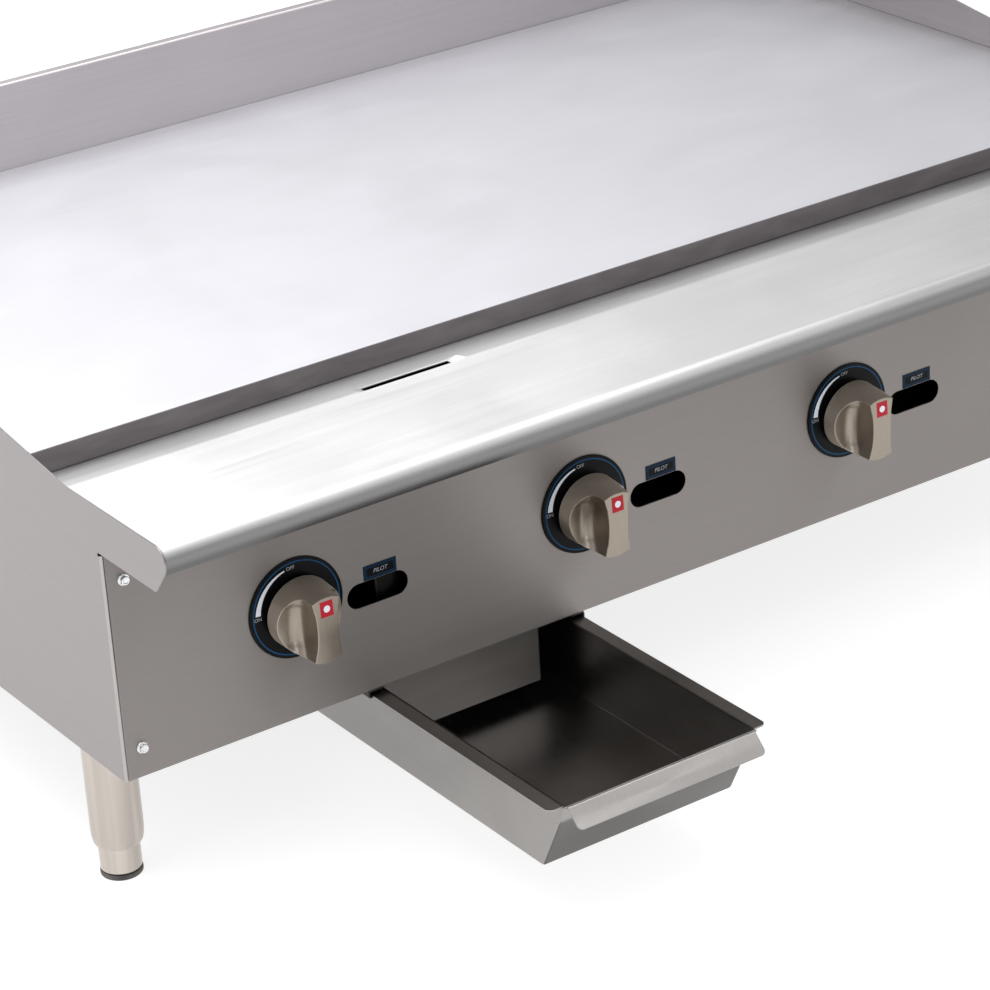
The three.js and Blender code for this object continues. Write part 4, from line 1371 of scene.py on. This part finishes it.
def add_leg(corner):
    x, y, bottom, top, radius = node_axis(f"leg_{corner}")
    foot_radius = node_axis(f"foot_{corner}")[4]
    mouth = foot_radius + 0.5 * MM
    neck = mouth + 1.8 * MM
    shoulder = 16 * MM
    curve = []
    for i in range(13):
        angle = math.radians(90 * i / 12)
        curve.append((neck + (radius - neck) * math.sin(angle), bottom + shoulder * (1 - math.cos(angle))))
    profile = [
        (0, bottom + 30 * MM), (mouth, bottom + 30 * MM), (mouth, bottom + 0.6 * MM),
        (mouth + 0.5 * MM, bottom), (neck - 0.4 * MM, bottom), *curve[1:], (radius, top - 0.5 * MM),
        (radius - 0.5 * MM, top), (0, top),
    ]
    bm = turned(profile, 96)
    obj = add_object(f"leg_tube_{corner}", mesh_of("leg", shifted(bm, x, y, 0)))
    shade(obj, edge=0, angle=40)
    finish_piece(obj, "root", "leg", [f"leg_{corner}"])


def add_foot(corner):
    x, y, bottom, top, radius = node_axis(f"foot_{corner}")
    sleeve = bottom + 62 * MM
    profile = [
        (0, bottom), (radius - 1.2 * MM, bottom), (radius, bottom + 1.4 * MM), (radius, sleeve),
        (6 * MM, sleeve), (6 * MM, top), (0, top),
    ]
    bm = turned(softened(profile, 0.6 * MM), 96)
    obj = add_object(f"foot_sleeve_{corner}", mesh_of("foot", shifted(bm, x, y, 0)))
    shade(obj, edge=0, angle=40)
    finish_piece(obj, f"foot_{corner}", "leg", [f"foot_{corner}"])
    x, y, bottom, top, radius = node_axis(f"foot_pad_{corner}")
    profile = [
        (0, bottom), (radius - 3 * MM, bottom), (radius - 0.8 * MM, bottom + 0.2 * MM),
        (radius, bottom + 1.2 * MM), (radius, top - 0.6 * MM), (radius - 0.6 * MM, top), (0, top),
    ]
    pad = turned(softened(profile, 0.5 * MM), 96)
    obj = add_object(f"foot_tread_{corner}", mesh_of("foot_pad", shifted(pad, x, y, 0)))
    shade(obj, edge=0, angle=40)
    finish_piece(obj, f"foot_{corner}", "rubber", [f"foot_pad_{corner}"])


# ---------------------------------------------------------------- gas inlet and inner parts


def add_inlet_pipe():
    """Straight pipe with a tapered pipe thread on its outer end."""
    low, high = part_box("gas_inlet_pipe")
    axis = (low + high) / 2
    radius = (high.x - low.x) / 2
    bore = radius - 3 * MM
    length = high.y - low.y
    pitch = 1.81 * MM
    depth = 1.1 * MM
    turns = 11
    profile = [(bore, 0), (radius, 0)]
    start = length - turns * pitch - 1 * MM
    profile.append((radius, start))
    for i in range(turns):
        taper = i * pitch / 32
        base = start + i * pitch
        profile.append((radius - depth - taper, base + pitch * 0.45))
        profile.append((radius - taper - 0.1 * MM, base + pitch * 0.95))
    profile.append((radius - depth - 0.4 * MM, length))
    profile.append((bore, length))
    bm = turned(profile, 64, closed=True)
    away = Matrix.Translation((axis.x, low.y, axis.z)) @ Matrix.Rotation(math.radians(-90), 4, "X")
    bmesh.ops.transform(bm, matrix=away, verts=bm.verts)
    obj = add_object("gas_inlet_thread", mesh_of("gas_inlet_pipe", bm))
    shade(obj, edge=0, angle=30)
    finish_piece(obj, "root", "iron", ["gas_inlet_pipe"])


def dress_node(name, material, edge=0.4 * MM):
    """A CAD node that keeps its shape gets rounded edges and its material."""
    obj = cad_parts[name]
    weld = obj.modifiers.new("weld", "WELD")
    weld.merge_threshold = 0.01 * MM
    if edge:
        bevel = obj.modifiers.new("edges", "BEVEL")
        bevel.width = edge
        bevel.segments = 2
        bevel.limit_method = "ANGLE"
        bevel.angle_limit = math.radians(40)
    obj.data.materials.clear()
    obj.data.materials.append(MATERIALS[material])


def dress_inner_nodes():
    dress_node("griddle_plate", "plate", edge=1.0 * MM)
    dress_node("base_pan", "rail")
    for name in ("manifold_pipe", "inlet_elbow"):
        dress_node(name, "iron", edge=0)
    for name in ("burner_rest_front", "burner_rest_rear"):
        dress_node(name, "rail", edge=0)
    for number in STATIONS:
        dress_node(f"burner_{number}", "iron", edge=0)
        dress_node(f"pilot_burner_{number}", "iron", edge=0)
        dress_node(f"gas_valve_{number}", "brass", edge=0)
        dress_node(f"valve_stem_{number}", "brass", edge=0)


# ---------------------------------------------------------------- stage

FLOOR_GLOW = 0.8


def add_floor():
    reach = 40.0
    bm = bmesh.new()
    corners = [bm.verts.new((a * reach, b * reach, 0)) for a, b in ((-1, -1), (1, -1), (1, 1), (-1, 1))]
    bm.faces.new(corners)
    floor = add_object("floor", mesh_of("floor", bm))
    surface = Surface("floor", linear(160, 160, 160), 0.9, 0.0)
    grain = surface.noise((3.0, 3.0, 3.0), detail=2.0)
    surface.tint(surface.mix(grain, linear(158, 158, 158), linear(162, 162, 162)))
    surface.shader.inputs["Emission Color"].default_value = (1.0, 1.0, 1.0, 1.0)
    surface.shader.inputs["Emission Strength"].default_value = FLOOR_GLOW
    floor.data.materials.append(surface.material)


def add_softbox(name, place, target, size, power):
    data = bpy.data.lights.new(name, "AREA")
    data.shape = "RECTANGLE"
    data.size, data.size_y = size
    data.energy = power
    light = bpy.data.objects.new(name, data)
    light.location = place
    light.rotation_mode = "QUATERNION"
    light.rotation_quaternion = (Vector(target) - Vector(place)).to_track_quat("-Z", "Y")
    bpy.context.scene.collection.objects.link(light)


def add_world():
    """A soft surround, bright behind and to the left, and dimmer towards the cook."""
    world = bpy.data.worlds.new("studio")
    bpy.context.scene.world = world
    world.use_nodes = True
    tree = world.node_tree
    place = tree.nodes.new("ShaderNodeTexCoord")
    facing = tree.nodes.new("ShaderNodeVectorMath")
    facing.operation = "DOT_PRODUCT"
    facing.inputs[1].default_value = Vector((-0.65, 0.7, 0.3)).normalized()
    tree.links.new(place.outputs["Generated"], facing.inputs[0])
    spread = tree.nodes.new("ShaderNodeMapRange")
    spread.interpolation_type = "SMOOTHSTEP"
    spread.inputs["From Min"].default_value = -0.1
    spread.inputs["From Max"].default_value = 0.75
    spread.inputs["To Min"].default_value = 0.6
    spread.inputs["To Max"].default_value = 1.05
    tree.links.new(facing.outputs["Value"], spread.inputs["Value"])
    background = tree.nodes["Background"]
    background.inputs["Color"].default_value = (1.0, 1.0, 1.0, 1.0)
    tree.links.new(spread.outputs["Result"], background.inputs["Strength"])


def add_stage():
    add_floor()
    add_world()
    add_softbox("overhead", (-0.2, 0.2, 3.2), (0, 0, 0.3), (4.4, 3.4), 125)
    add_softbox("front_left", (-1.5, -3.5, 1.6), (0, 0, 0.3), (1.6, 1.2), 12)
    add_softbox("front_right", (1.3, -1.9, 2.5), (-0.2, -0.4, 0.2), (2.0, 2.0), 13)
    bpy.context.scene.view_settings.view_transform = "Standard"


# ---------------------------------------------------------------- everything together

add_rear_splash()
add_ledge()
add_control_panel()
for side in ("left", "right"):
    add_side_splash(side)
    add_side_panel(side)
    add_rail(side)
add_rear_panel()
add_tray()
add_chute()
for number in STATIONS:
    add_dial(number)
    add_pilot_label(number)
add_knobs()
for number, x, z in screw_places():
    add_screw(number, x, z)
for corner in CORNERS:
    add_leg(corner)
    add_foot(corner)
add_inlet_pipe()
dress_inner_nodes()
add_stage()
